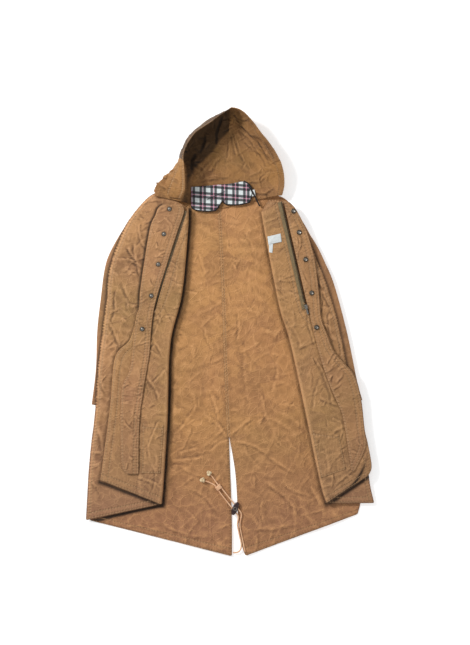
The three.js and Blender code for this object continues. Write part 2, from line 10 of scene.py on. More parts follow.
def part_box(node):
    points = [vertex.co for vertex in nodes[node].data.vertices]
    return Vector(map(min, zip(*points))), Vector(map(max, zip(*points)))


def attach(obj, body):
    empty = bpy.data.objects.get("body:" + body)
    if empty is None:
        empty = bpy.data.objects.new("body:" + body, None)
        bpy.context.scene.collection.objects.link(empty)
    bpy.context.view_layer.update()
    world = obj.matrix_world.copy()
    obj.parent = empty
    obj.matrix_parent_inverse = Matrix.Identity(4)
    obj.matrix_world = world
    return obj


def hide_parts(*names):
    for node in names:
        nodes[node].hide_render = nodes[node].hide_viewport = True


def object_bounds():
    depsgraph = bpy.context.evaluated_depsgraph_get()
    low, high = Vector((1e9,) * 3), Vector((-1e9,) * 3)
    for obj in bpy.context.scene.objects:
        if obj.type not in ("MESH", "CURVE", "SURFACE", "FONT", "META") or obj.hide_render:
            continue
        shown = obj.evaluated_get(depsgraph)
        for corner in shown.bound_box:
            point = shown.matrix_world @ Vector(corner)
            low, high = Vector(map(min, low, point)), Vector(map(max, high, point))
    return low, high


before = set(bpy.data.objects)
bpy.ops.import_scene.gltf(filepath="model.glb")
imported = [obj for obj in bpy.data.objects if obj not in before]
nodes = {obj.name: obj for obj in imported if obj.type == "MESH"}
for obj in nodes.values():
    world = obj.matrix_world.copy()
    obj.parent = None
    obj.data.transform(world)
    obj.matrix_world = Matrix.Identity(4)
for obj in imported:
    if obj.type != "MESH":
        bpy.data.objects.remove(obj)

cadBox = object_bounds()
scene = bpy.context.scene
mm = 0.001
# Outlines are in millimetres for the standard coat and follow the frame's box when it is graded.
standardSize = (835.0, 1289.9)
grade = np.array([(cadBox[1][k] - cadBox[0][k]) / (standardSize[k] * mm) for k in (0, 1)])


# ---------------------------------------------------------------- camera, light and floor
stageSettings = {
    "cameraPlace": (0.0145, 0.0319), "cameraHeight": 3.2, "seenLength": 1.8705,
    "keyPlace": (-2.1, 1.5, 1.9), "keySize": 0.6, "keyPower": 74.0,
    "fillPlace": (1.9, -0.8, 2.4), "fillSize": 2.5, "fillPower": 8.0,
    "skyStrength": 0.5, "floorGlow": 0.42, "floorSize": 24.0,
}


def makeStage(s):
    cam = bpy.data.objects.new("camera", bpy.data.cameras.new("camera"))
    scene.collection.objects.link(cam)
    cam.location = (*s["cameraPlace"], s["cameraHeight"])
    cam.data.sensor_fit = "AUTO"
    cam.data.sensor_width = 36.0
    cam.data.lens = 36.0 * s["cameraHeight"] / s["seenLength"]
    scene.camera = cam
    for name, place, size, power in (
        ("key", s["keyPlace"], s["keySize"], s["keyPower"]),
        ("fill", s["fillPlace"], s["fillSize"], s["fillPower"]),
    ):
        light = bpy.data.objects.new(name, bpy.data.lights.new(name, "AREA"))
        light.data.size = size
        light.data.energy = power
        light.location = place
        light.rotation_euler = (-Vector(place)).to_track_quat("-Z", "Y").to_euler()
        scene.collection.objects.link(light)
    world = bpy.data.worlds.new("sky")
    world.use_nodes = True
    world.node_tree.nodes["Background"].inputs["Color"].default_value = (1, 1, 1, 1)
    world.node_tree.nodes["Background"].inputs["Strength"].default_value = s["skyStrength"]
    scene.world = world
    scene.view_settings.view_transform = "Standard"
    bm = bmesh.new()
    bmesh.ops.create_grid(bm, x_segments=1, y_segments=1, size=s["floorSize"] / 2)
    floor = meshObject("floor", bm)
    paint = bpy.data.materials.new("paleFloor")
    paint.use_nodes = True
    paint.node_tree.nodes["Principled BSDF"].inputs["Base Color"].default_value = (0.93, 0.93, 0.93, 1)
    paint.node_tree.nodes["Principled BSDF"].inputs["Roughness"].default_value = 0.9
    paint.node_tree.nodes["Principled BSDF"].inputs["Emission Color"].default_value = (1, 1, 1, 1)
    paint.node_tree.nodes["Principled BSDF"].inputs["Emission Strength"].default_value = s["floorGlow"]
    floor.data.materials.append(paint)
    floor.location.z = -0.0006


def meshObject(name, bm, smooth=False):
    mesh = bpy.data.meshes.new(name)
    bm.to_mesh(mesh)
    bm.free()
    if smooth:
        mesh.shade_smooth()
    piece = bpy.data.objects.new(name, mesh)
    scene.collection.objects.link(piece)
    return piece


makeStage(stageSettings)
print("stage ready")


# ---------------------------------------------------------------- shader tools
class Wire:
    """"""

    def __init__(self, tree, socket):
        self.tree = tree
        self.socket = socket

    def math(self, operation, *others, flip=False):
        node = self.tree.nodes.new("ShaderNodeMath")
        node.operation = operation
        values = [self, *others]
        if flip:
            values.reverse()
        for place, value in zip(node.inputs, values):
            if isinstance(value, Wire):
                self.tree.links.new(value.socket, place)
            else:
                place.default_value = value
        return Wire(self.tree, node.outputs[0])

    def __add__(self, other):
        return self.math("ADD", other)

    def __sub__(self, other):
        return self.math("SUBTRACT", other)

    def __rsub__(self, other):
        return self.math("SUBTRACT", other, flip=True)

    def __mul__(self, other):
        return self.math("MULTIPLY", other)

    def __truediv__(self, other):
        return self.math("DIVIDE", other)

    def __rtruediv__(self, other):
        return self.math("DIVIDE", other, flip=True)

    def __pow__(self, other):
        return self.math("POWER", other)

    __radd__ = __add__
    __rmul__ = __mul__

    def least(self, other):
        return self.math("MINIMUM", other)

    def most(self, other):
        return self.math("MAXIMUM", other)

    def held(self):
        return self.math("MINIMUM", 1.0).math("MAXIMUM", 0.0)

    def size(self):
        return self.math("ABSOLUTE")

    def wave(self):
        return self.math("SINE")


class Paint:
    def __init__(self, name, roughness=0.6, metallic=0.0, sheen=0.0, specular=0.5):
        self.material = bpy.data.materials.new(name)
        self.material.use_nodes = True
        self.tree = self.material.node_tree
        self.shader = self.tree.nodes["Principled BSDF"]
        self.shader.inputs["Roughness"].default_value = roughness
        self.shader.inputs["Metallic"].default_value = metallic
        self.shader.inputs["Sheen Weight"].default_value = sheen
        self.shader.inputs["Sheen Roughness"].default_value = 0.5
        self.shader.inputs["Specular IOR Level"].default_value = specular

    def node(self, kind, settings=None, out=0, **values):
        made = self.tree.nodes.new("ShaderNode" + kind)
        for key, value in (settings or {}).items():
            if key == "stops":
                ramp = made.color_ramp
                while len(ramp.elements) > 1:
                    ramp.elements.remove(ramp.elements[-1])
                for i, (place, colour) in enumerate(value):
                    stop = ramp.elements[0] if i == 0 else ramp.elements.new(place)
                    stop.position = place
                    stop.color = (*colour, 1) if len(colour) == 3 else colour
            else:
                setattr(made, key, value)
        for key, value in values.items():
            place = made.inputs[int(key[1:])] if key[0] == "n" and key[1:].isdigit() else made.inputs[key]
            if isinstance(value, Wire):
                self.tree.links.new(value.socket, place)
            elif isinstance(value, tuple) and len(value) == 3 and len(place.default_value) == 4:
                place.default_value = (*value, 1)
            else:
                place.default_value = value
        return Wire(self.tree, made.outputs[out])

    def object(self, scale=(1, 1, 1), turn=(0, 0, 0)):
        place = self.node("TexCoord", out=3)
        return self.node("Mapping", Vector=place, Scale=scale, Rotation=turn)

    def noise(self, place, scale, detail=3.0, roughness=0.5, distortion=0.0):
        return self.node("TexNoise", Vector=place, Scale=scale, Detail=detail,
                         Roughness=roughness, Distortion=distortion)

    def mix(self, share, first, second, way="MIX"):
        return self.node("Mix", {"data_type": "RGBA", "blend_type": way}, out=2,
                         n0=share, n6=first, n7=second)

    def parts(self, name):
        made = self.tree.nodes.new("ShaderNodeAttribute")
        made.attribute_name = name
        split = self.tree.nodes.new("ShaderNodeSeparateXYZ")
        self.tree.links.new(made.outputs["Vector"], split.inputs[0])
        return [Wire(self.tree, s) for s in split.outputs]

    def share(self, name):
        made = self.tree.nodes.new("ShaderNodeAttribute")
        made.attribute_name = name
        return Wire(self.tree, made.outputs["Fac"])

    def feed(self, **wires):
        names = {"colour": "Base Color", "roughness": "Roughness", "normal": "Normal",
                 "metallic": "Metallic", "alpha": "Alpha"}
        for key, wire in wires.items():
            self.tree.links.new(wire.socket, self.shader.inputs[names[key]])

    def bump(self, height, distance, strength=1.0, under=None):
        values = {"Height": height, "Distance": distance, "Strength": strength}
        if under is not None:
            values["Normal"] = under
        return self.node("Bump", **values)


def srgb(r, g, b):
    return tuple(((c / 255 + 0.055) / 1.055) ** 2.4 if c > 10 else c / 3294.6 for c in (r, g, b))


# Waxed cotton: warm tan with olive and pink wear, pale crumple lines and flecks, painted highlight on ridges, painted
# shade in crease valleys, painted shadows where parts overlap, weave and stitched seams.
clothSettings = {
    "weave": 0.0011, "weaveDepth": 0.12,
    "crumple": 21.0, "crumpleDepth": 0.9,
    "fineCrumple": 60.0, "fineDepth": 0.9,
    "pucker": 0.0085, "puckerDepth": 0.7, "puckerWidth": 0.006,
    "stitch": 0.0045, "stitchWidth": 0.0009,
    "paleFleck": 0.5, "tailFade": 0.75,
}


def waxedCotton(name, tone, olive, rosy, seams=(), crumple=1.0):
    s = clothSettings
    p = Paint(name, roughness=0.62, sheen=0.04, specular=0.2)
    place = p.object()
    broad = p.noise(place, 2.3, 3.0, 0.55, 0.6)
    second = p.noise(p.node("Mapping", Vector=place, Location=(3.1, 1.7, 0.4)), 3.4, 4.0, 0.6, 0.8)
    patch = p.noise(place, 16.0, 5.0, 0.65, 0.6)
    fleck = p.noise(place, 150.0, 4.0, 0.7, 0.5)
    ridge = p.share("creaseShading")
    shadeAndSeamDark = p.share("shadeAndSeamDark")
    tint = p.mix((broad * 4.4 - 1.9).held() * 0.9, tone, olive)
    tint = p.mix((second * 4.4 - 2.0).held() * 0.85, tint, rosy)
    tint = p.mix((patch * 3.2 - 1.2).held() * 0.4, tint, tuple(c * 0.66 for c in tone))
    blotch = p.noise(place, 8.5, 4.0, 0.6, 1.2)
    tint = p.mix((blotch * 3.6 - 1.9).held() * 0.5, tint, tuple(c * 0.68 for c in olive))
    tint = p.mix((0.85 - blotch * 2.2).held() * 0.6, tint, tuple(min(1.0, c * 1.25) for c in tone))
    facet = p.node("SeparateXYZ", Vector=p.node("TexVoronoi", {"feature": "F1"}, out=1, Scale=19.0, Randomness=1.0,
                                                Vector=p.mix(0.1, place, p.node("TexNoise", out=1, Vector=place, Scale=9.0))))
    tint = p.mix((facet * 2.0 - 1.0).held() * 0.34, tint, tuple(c * 0.6 for c in rosy))
    tint = p.mix((1.0 - facet * 2.0).held() * 0.26, tint, tuple(min(1.0, c * 1.3) for c in tone))
    down = p.node("SeparateXYZ", out=1, Vector=place)
    tint = p.mix((down * -3.2 - 0.75).held() * s["tailFade"], tint, tuple(c * f for c, f in zip(rosy, (0.74, 0.76, 0.92))))
    warp = p.mix(0.12, place, p.node("TexNoise", out=1, Vector=place, Scale=5.0))
    net = p.node("TexVoronoi", {"feature": "DISTANCE_TO_EDGE"}, Vector=warp, Scale=s["crumple"])
    netFine = p.node("TexVoronoi", {"feature": "DISTANCE_TO_EDGE"}, Vector=warp, Scale=s["crumple"] * 2.6)
    finer = p.noise(warp, s["fineCrumple"], 4.0, 0.6, 1.6)
    gate = (patch * 4.0 - 1.8).held()
    lineA = (1.0 - net * 16.0).held() * gate
    lineB = (1.0 - netFine * 11.0).held() * (1.0 - gate)
    lines = (lineA + lineB).held()
    pale = tuple(min(1.0, c * 1.4 + 0.04) for c in tone)
    tint = p.mix(lines * 0.3 * crumple, tint, pale)
    tint = p.mix((fleck * 7.0 - 4.3).held() * s["paleFleck"], tint, pale)
    # painted highlight on ridges and painted shade in crease valleys, read from the stored crease height attribute
    light = (ridge * 2.0 - 1.0).held()
    paintedShade = (1.0 - ridge * 2.0).held()
    tint = p.mix(light * 0.55, tint, pale)
    tint = p.mix(paintedShade * 0.8, tint, tuple(c * 0.36 for c in rosy))
    # painted shade and cast shadows, with a few dark seam lines, from the stored darkening attribute
    tint = p.mix(shadeAndSeamDark.held() * 0.93, tint, (0.012, 0.008, 0.006))
    height = finer * s["fineDepth"] * crumple + lines * s["crumpleDepth"] * crumple + patch * 1.2 * crumple
    left, right, along = p.parts("seamPlace")
    warpThread = (left * (2 * math.pi / s["weave"])).wave()
    weftThread = (along * (2 * math.pi / s["weave"])).wave()
    height = height + (warpThread * weftThread) * s["weaveDepth"]
    hem, top, across = p.parts("hemPlace")
    sides = {"left": left, "right": right, "hem": hem, "top": top}
    for side, inset in seams:
        run = along if side in ("left", "right") else across
        off = (sides[side] - inset).size()
        near = (1.0 - off / s["puckerWidth"]).held()
        rise = (run * (2 * math.pi / s["pucker"]) + patch * 9.0).wave()
        height = height + near * rise * s["puckerDepth"] - near * near * 1.3
        dash = ((run * (2 * math.pi / s["stitch"])).wave() * 3.0 + 1.8).held()
        thread = (1.0 - off / s["stitchWidth"]).held() * dash
        # darker along the seam line, and a painted highlight on the pucker crests
        tint = p.mix(near * near * 0.42, tint, tuple(c * 0.4 for c in rosy))
        tint = p.mix(near * (rise * 0.5 - 0.1).held() * 0.5, tint, pale)
        tint = p.mix((thread * 2.0).held() * 0.8, tint, srgb(196, 160, 118))
        height = height + thread * 0.5
    p.feed(colour=tint, roughness=patch * 0.3 + 0.46 - light * 0.08, normal=p.bump(height, 0.001, 0.9))
    return p.material


def checkedCloth():
    p = Paint("checkedCloth", roughness=0.85, sheen=0.2, specular=0.25)
    across, along, spare = p.parts("seamPlace")

    def band(run, period, start, width, soft=0.0012):
        phase = (run / period + (2 - start)).math("FRACT")
        off = (phase - width / 2).size() - width / 2
        return (0.5 - off * period / soft).held()

    period = 0.0315
    ink, snow, rose = srgb(16, 15, 22), srgb(232, 240, 240), srgb(214, 118, 150)
    dusk = srgb(24, 24, 34)
    colour = p.mix(band(along, period, 0.20, 0.24) * 0.88, snow, ink)
    colour = p.mix(band(along, period, 0.56, 0.24) * 0.88, colour, ink)
    spread = p.mix(band(across, period, 0.20, 0.24) * 0.88, (1, 1, 1), dusk)
    spread = p.mix(band(across, period, 0.56, 0.24) * 0.88, spread, dusk)
    colour = p.mix(1.0, colour, spread, "MULTIPLY")
    colour = p.mix(band(along, period, 0.46, 0.08) * 0.55, colour, rose)
    colour = p.mix(band(across, period, 0.46, 0.08) * 0.6, colour, rose)
    # painted shade from the stored darkening attribute
    colour = p.mix(p.share("shadeAndSeamDark").held() * 0.92, colour, (0.01, 0.01, 0.012))
    place = p.object()
    fleck = p.noise(place, 400.0, 3.0)
    colour = p.mix((fleck * 3 - 1.3).held() * 0.25, colour, srgb(150, 150, 156))
    threads = (across * (2 * math.pi / 0.0012)).wave() * (along * (2 * math.pi / 0.0012)).wave()
    p.feed(colour=colour, normal=p.bump(threads * 0.15 + fleck * 0.2, 0.001))
    return p.material


def plainCloth(name, colour, second, scale=180.0, roughness=0.8):
    p = Paint(name, roughness=roughness, sheen=0.1, specular=0.3)
    place = p.object()
    mottle = p.noise(place, scale, 4.0, 0.6)
    ribs = (p.noise(place, scale * 6, 2.0))
    p.feed(colour=p.mix((mottle * 3 - 1).held(), colour, second), normal=p.bump(mottle * 0.5 + ribs * 0.3, 0.0005),
           roughness=ribs * 0.2 + (roughness - 0.1))
    return p.material


def cordFinish(name, colour, second):
    p = Paint(name, roughness=0.75, sheen=0.2, specular=0.3)
    place = p.object()
    braid = p.noise(place, 900.0, 2.0, 0.6)
    wear = p.noise(place, 60.0, 3.0)
    p.feed(colour=p.mix((wear * 3 - 1).held(), colour, second), normal=p.bump(braid, 0.0006))
    return p.material


def wornMetal(name, colour, second, roughness=0.32):
    p = Paint(name, roughness=roughness, metallic=1.0)
    place = p.object()
    wear = p.noise(place, 260.0, 4.0, 0.65)
    scratch = p.noise(p.object(scale=(1, 8, 1)), 900.0, 3.0)
    p.feed(colour=p.mix((wear * 4 - 1.6).held(), colour, second),
           roughness=wear * 0.35 + (roughness - 0.1), normal=p.bump(scratch, 0.0001, 0.6))
    return p.material


def smoothHorn():
    p = Paint("darkHorn", roughness=0.34, specular=0.5)
    grain = p.noise(p.object(scale=(1, 3, 1)), 120.0, 4.0, 0.6, 1.0)
    p.feed(colour=p.mix((grain * 3 - 1).held(), srgb(34, 22, 24), srgb(66, 42, 40)),
           roughness=grain * 0.3 + 0.2, normal=p.bump(grain, 0.0004, 0.5))
    return p.material


print("finishes ready")


# ---------------------------------------------------------------- sheet tools
def rail(points, rows, rounded=True):
    """"""
    line = np.array(points, float)
    line[:, :2] *= grade
    if rounded and len(line) > 2:
        fine = []
        padded = np.vstack([2 * line[0] - line[1], line, 2 * line[-1] - line[-2]])
        for i in range(1, len(padded) - 2):
            a, b, c, d = padded[i - 1:i + 3]
            for k in range(12):
                t = k / 12
                fine.append(0.5 * ((2 * b) + (c - a) * t + (2 * a - 5 * b + 4 * c - d) * t * t
                                   + (3 * b - a - 3 * c + d) * t ** 3))
        fine.append(line[-1])
        line = np.array(fine)
    steps = np.linalg.norm(np.diff(line, axis=0), axis=1)
    run = np.concatenate([[0], np.cumsum(steps)])
    wanted = np.linspace(0, run[-1], rows)
    return np.column_stack([np.interp(wanted, run, line[:, k]) for k in range(line.shape[1])])


def grid(name, across, along):
    bm = bmesh.new()
    bmesh.ops.create_grid(bm, x_segments=across, y_segments=along, size=0.5)
    piece = meshObject(name, bm, smooth=True)
    co = points(piece)
    return piece, co[:, 0] + 0.5, 0.5 - co[:, 1]


def points(piece):
    co = np.empty(len(piece.data.vertices) * 3)
    piece.data.vertices.foreach_get("co", co)
    return co.reshape(-1, 3)


def normals(piece):
    out = np.empty(len(piece.data.vertices) * 3)
    piece.data.vertices.foreach_get("normal", out)
    return out.reshape(-1, 3)


def place(piece, co):
    piece.data.vertices.foreach_set("co", np.ascontiguousarray(co, float).ravel())
    piece.data.update()


def between(line, share):
    where = np.clip(share, 0, 1) * (len(line) - 1)
    low = np.clip(where.astype(int), 0, len(line) - 2)
    part = (where - low)[:, None]
    return line[low] * (1 - part) + line[low + 1] * part


def railLength(line):
    return np.linalg.norm(np.diff(line, axis=0), axis=1).sum()


def storeVector(piece, name, values):
    made = piece.data.attributes.get(name) or piece.data.attributes.new(name, "FLOAT_VECTOR", "POINT")
    made.data.foreach_set("vector", np.ascontiguousarray(values, np.float32).ravel())


def storeShare(piece, name, values):
    made = piece.data.attributes.get(name) or piece.data.attributes.new(name, "FLOAT", "POINT")
    made.data.foreach_set("value", np.ascontiguousarray(values, np.float32))


def ruled(name, left, right, across, along, lift):
    """"""
    piece, u, t = grid(name, across, along)
    a, b = between(left, t), between(right, t)
    xy = (a * (1 - u[:, None]) + b * u[:, None]) * mm
    place(piece, np.column_stack([xy, np.full(len(xy), lift * mm)]))
    width = np.linalg.norm((b - a), axis=1) * mm
    length = 0.5 * (railLength(left) + railLength(right)) * mm
    storeVector(piece, "seamPlace", np.column_stack([u * width, (1 - u) * width, t * length]))
    storeVector(piece, "hemPlace", np.column_stack([(1 - t) * length, t * length, u * width]))
    return piece, u, t


def ramp(x, low, high):
    t = np.clip((x - low) / (high - low), 0, 1)
    return t * t * (3 - 2 * t)


def noiseAt(co, scale, seed, octaves=3):
    shift = Vector((seed * 3.7, seed * 1.3, seed * 2.1))
    return np.array([noise.fractal(Vector(p) * scale + shift, 0.9, 2.1, octaves) for p in co])


def ridgesAt(co, scale, seed, stretch=1.0, turn=0.0, facets=0.55):
    """"""
    c, k = math.cos(turn), math.sin(turn)
    shift = Vector((seed * 5.3, seed * 2.9, seed))
    out = np.empty(len(co))
    for i, p in enumerate(co):
        spot = Vector(((p[0] * c + p[1] * k) * scale, (p[1] * c - p[0] * k) * scale * stretch, 0)) + shift
        spot += noise.noise_vector(spot * 0.55) * 0.45
        near = noise.voronoi(spot)[0]
        calm = 0.5 + 0.9 * noise.noise(spot * 0.31 + shift)
        out[i] = (facets * near[0] + (1 - facets) * max(0.0, 1 - 5.5 * (near[1] - near[0])) ** 1.5) * min(1.2, max(0.1, calm))
    return out


def scattered(seed, count, area, lengths, rises, width=(2.2, 4.0)):
    """"""
    dice = random.Random(seed)
    out = []
    for _ in range(count):
        x, y = dice.uniform(area[0], area[2]), dice.uniform(area[1], area[3])
        angle, length = dice.uniform(0, math.pi), dice.uniform(*lengths)
        out.append((x, y, x + length * math.cos(angle), y + length * math.sin(angle), dice.uniform(*width),
                    # the last value is the painted shade in the valley beside each crease
                    dice.uniform(*rises) * dice.choice((1, 1, -0.6)), dice.uniform(0.04, 0.34)))
    return out


def creases(co, lines):
    """"""
    z, paintedShade = np.zeros(len(co)), np.zeros(len(co))
    x, y = co[:, 0] / mm / grade[0], co[:, 1] / mm / grade[1]
    for n, (x1, y1, x2, y2, width, rise, valleyShade) in enumerate(lines):
        dx, dy = x2 - x1, y2 - y1
        length = math.hypot(dx, dy)
        along = ((x - x1) * dx + (y - y1) * dy) / length ** 2
        off = ((x - x1) * dy - (y - y1) * dx) / length
        off = off + (0.06 if n % 2 else -0.05) * length * np.sin(np.clip(along, 0, 1) * math.pi)
        off = off + 1.1 * np.sin(along * 0.09 * length + n) + 0.6 * np.sin(along * 0.31 * length + 2 * n)
        fade = np.clip(1.3 - np.abs(along * 2 - 1) ** 3 * 1.3, 0, 1) * (along > -0.1) * (along < 1.1)
        fade = fade * (0.75 + 0.25 * np.sin(along * 0.17 * length + 3 * n))
        width = width * 0.7
        rise = rise * min(1.0, 34.0 / length) ** 0.5
        ridge = np.exp(-np.abs(off / width) ** 1.1)
        valley = np.exp(-((off - 1.9 * width) / (1.2 * width)) ** 2)
        broad = np.exp(-(off / (3.6 * width)) ** 2)
        z += rise * (0.7 * ridge - 0.45 * valley + 0.4 * broad) * fade
        # painted shade in the valley beside each crease, scaled by its darkness value
        paintedShade = np.maximum(paintedShade, valleyShade * valley * fade)
    return z, paintedShade


def nearLine(co, line, width):
    """"""
    spots = co[:, :2] / mm
    best = np.full(len(co), 1e9)
    for a, b in zip(line[:-1, :2], line[1:, :2]):
        step = b - a
        t = np.clip(((spots - a) @ step) / max(step @ step, 1e-9), 0, 1)
        best = np.minimum(best, np.linalg.norm(spots - a - t[:, None] * step, axis=1))
    return np.exp(-(best / width) ** 2)


def edgesOf(piece):
    edges = np.empty(len(piece.data.edges) * 2, int)
    piece.data.edges.foreach_get("vertices", edges)
    return edges[::2], edges[1::2]


def neighbourMean(piece, z, rounds):
    a, b = edgesOf(piece)
    count = np.bincount(a, minlength=len(z)) + np.bincount(b, minlength=len(z))
    for _ in range(rounds):
        total = np.bincount(a, weights=z[b], minlength=len(z)) + np.bincount(b, weights=z[a], minlength=len(z))
        z = 0.5 * z + 0.5 * total / np.maximum(count, 1)
    return z


def markCreases(piece, gain):
    """"""
    # height above the local mean, later painted as highlight on ridges and shade in valleys
    z = points(piece)[:, 2]
    small = z - neighbourMean(piece, z, 4)
    large = z - neighbourMean(piece, z, 24)
    storeShare(piece, "creaseShading", np.clip(0.5 + gain * small + 0.14 * gain * large, 0, 1))


def settle(piece, held, growth, frames, floorHeight, bending=1.2, stiffness=14.0, seed=0):
    """"""
    bm = bmesh.new()
    bmesh.ops.create_grid(bm, x_segments=1, y_segments=1, size=1.2)
    ground = meshObject("settlingGround", bm)
    ground.location.z = floorHeight * mm
    ground.modifiers.new("ground", "COLLISION")
    ground.collision.thickness_outer = 0.001
    ground.collision.cloth_friction = 5.0
    heldGroup = piece.vertex_groups.new(name="held")
    calmGroup = piece.vertex_groups.new(name="calm")
    before = points(piece)
    calm = np.clip(0.45 + 0.9 * noiseAt(before, 6.0, 70 + seed), 0, 1)
    for i, (still, quiet) in enumerate(zip(held, calm)):
        calmGroup.add([i], float(quiet), "REPLACE")
        if still:
            heldGroup.add([i], 1.0, "REPLACE")
    cloth = piece.modifiers.new("settle", "CLOTH")
    s = cloth.settings
    s.quality = 5
    s.mass = 0.15
    s.tension_stiffness = s.compression_stiffness = stiffness
    s.shear_stiffness = stiffness * 0.4
    s.bending_stiffness = bending
    s.tension_damping = s.compression_damping = 8.0
    s.bending_damping = 2.0
    s.air_damping = 4.0
    s.shrink_min = -growth
    s.shrink_max = 0.0
    s.vertex_group_shrink = "calm"
    s.vertex_group_mass = "held"
    cloth.collision_settings.distance_min = 0.001
    cloth.collision_settings.collision_quality = 2
    cloth.point_cache.frame_start = 1
    cloth.point_cache.frame_end = frames
    for f in range(1, frames + 1):
        scene.frame_set(f)
    seen = piece.evaluated_get(bpy.context.evaluated_depsgraph_get())
    co = np.empty(len(seen.data.vertices) * 3)
    seen.data.vertices.foreach_get("co", co)
    piece.modifiers.remove(cloth)
    piece.vertex_groups.clear()
    scene.frame_set(1)
    bpy.data.objects.remove(ground)
    moved = co.reshape(-1, 3) - before
    far = np.linalg.norm(moved, axis=1, keepdims=True)
    co = before + moved * np.minimum(1, 0.02 / np.maximum(far, 1e-9))
    co[:, 2] = np.maximum(co[:, 2], floorHeight * mm)
    place(piece, co)


def refine(piece, times=1):
    """"""
    part = piece.modifiers.new("finer", "SUBSURF")
    part.levels = part.render_levels = times
    seen = piece.evaluated_get(bpy.context.evaluated_depsgraph_get())
    mesh = bpy.data.meshes.new_from_object(seen)
    piece.modifiers.remove(part)
    piece.data = mesh
    mesh.shade_smooth()
    return piece


def softCap(z, limit):
    """"""
    start = limit * 0.82
    room = limit - start
    return np.where(z > start, start + room * (1 - np.exp(-(z - start) / room)), z)


def sheetArea(piece):
    bm = bmesh.new()
    bm.from_mesh(piece.data)
    area = sum(f.calc_area() for f in bm.faces)
    bm.free()
    return area


def finishSheet(piece, body, material, replaced=(), thickness=1.1,
                offset=0.0, gain=700.0, shadeAndSeamDark=None, declare=True):
    piece.data.materials.clear()
    piece.data.materials.append(material)
    markCreases(piece, gain)
    if shadeAndSeamDark is None:
        shadeAndSeamDark = np.zeros(len(piece.data.vertices))
    storeShare(piece, "shadeAndSeamDark", np.clip(shadeAndSeamDark, 0, 1))
    area = sheetArea(piece)
    co = points(piece)
    width, length = (co[:, k].max() - co[:, k].min() for k in (0, 1))
    part = piece.modifiers.new("cloth", "SOLIDIFY")
    part.thickness = thickness * mm
    part.offset = offset
    if body:
        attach(piece, body)
    if replaced:
        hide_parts(*replaced)
    if declare:
        length = max(width, length)
        area / length / 0.98
    return piece


def heightUnder(piece, xy, otherwise):
    """"""
    bm = bmesh.new()
    bm.from_mesh(piece.data)
    tree = BVHTree.FromBMesh(bm)
    bm.free()
    out = np.empty(len(xy))
    for i, (x, y) in enumerate(xy):
        hit = tree.ray_cast(Vector((x, y, 1.0)), Vector((0, 0, -1)))
        out[i] = hit[0].z if hit[0] else otherwise
    return out


def roundedSide(z, distance, drop, width):
    """"""
    share = np.clip(1 - distance / width, 0, 1)
    return z - drop * (1 - np.sqrt(np.clip(1 - share ** 2, 0, 1)))


tan = {
    "lining": (srgb(197, 144, 90), srgb(178, 134, 84), srgb(188, 132, 90)),
    "inside": (srgb(184, 138, 90), srgb(160, 126, 80), srgb(178, 130, 92)),
    "shell": (srgb(184, 137, 92), srgb(162, 126, 80), srgb(176, 127, 92)),
    "sleeve": (srgb(170, 124, 84), srgb(148, 114, 74), srgb(170, 118, 88)),
    # the hood tone is darker and more saturated than the shell, as painted shade for the hood's hollow
    "hood": (srgb(162, 116, 66), srgb(152, 118, 70), srgb(164, 116, 78)),
}

# ---------------------------------------------------------------- outlines that several pieces share
outlines = {
    "rightTurn": [(-119, 360), (-122, 286), (-139, 112), (-172, -30), (-180, -248), (-191, -425), (-197, -493)],
    "leftTurn": [(90, 350), (110, 239), (128, 146), (146, 62), (180, -54), (255, -410), (278, -491)],
    "rightFree": [(-126, 352), (-148, 290), (-175, 208), (-219, 68), (-266, 40), (-290, -20), (-331, -68), (-345, -201),
                  (-357, -297), (-374, -422)],
    "leftFree": [(148, 382), (166, 306), (184, 228), (220, 71), (262, 30), (280, -1), (299, -48), (328, -83), (360, -122),
                 (378, -190), (388, -277), (396, -312), (408, -381), (400, -407)],
    "rightFlyFree": [(-192, 371), (-206, 362), (-215, 338), (-229, 306), (-246, 207), (-258, 123), (-261, 74), (-269, 52),
                     (-276, -2), (-288, -103), (-312, -167), (-313, -367), (-296, -404)],
    "rightFlyInner": [(-138, 371), (-131, 352), (-149, 297), (-178, 208), (-219, 68), (-231, -56), (-236, -88),
                      (-249, -167), (-260, -257), (-263, -404)],
    "leftFlyFree": [(172, 377), (190, 356), (218, 300), (243, 213), (256, 112), (262, 45), (278, -1), (297, -50),
                    (327, -86), (358, -124), (376, -190), (386, -277), (392, -318), (382, -350), (358, -396)],
    "leftFlyInner": [(155, 382), (171, 306), (189, 228), (226, 68), (257, -59), (285, -146), (309, -201), (325, -245),
                     (350, -398)],
    "leftZip": [(149, 380), (220, 71)],
    "rightZip": [(-124, 352), (-219, 68)],
    "rightPocket": [(-252, -258), (-254, -402), (-200, -402), (-190, -262), (-252, -258)],
    "leftPocket": [(238, -274), (314, -290), (334, -390), (262, -416), (232, -326), (238, -274)],
}
lines = {name: rail(shape, 90 if len(shape) > 2 else 40) for name, shape in outlines.items()}
studs = [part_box(f"snap_stud_{n}") for n in range(1, 6)]
sockets = [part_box(f"snap_socket_{n}") for n in range(1, 6)]


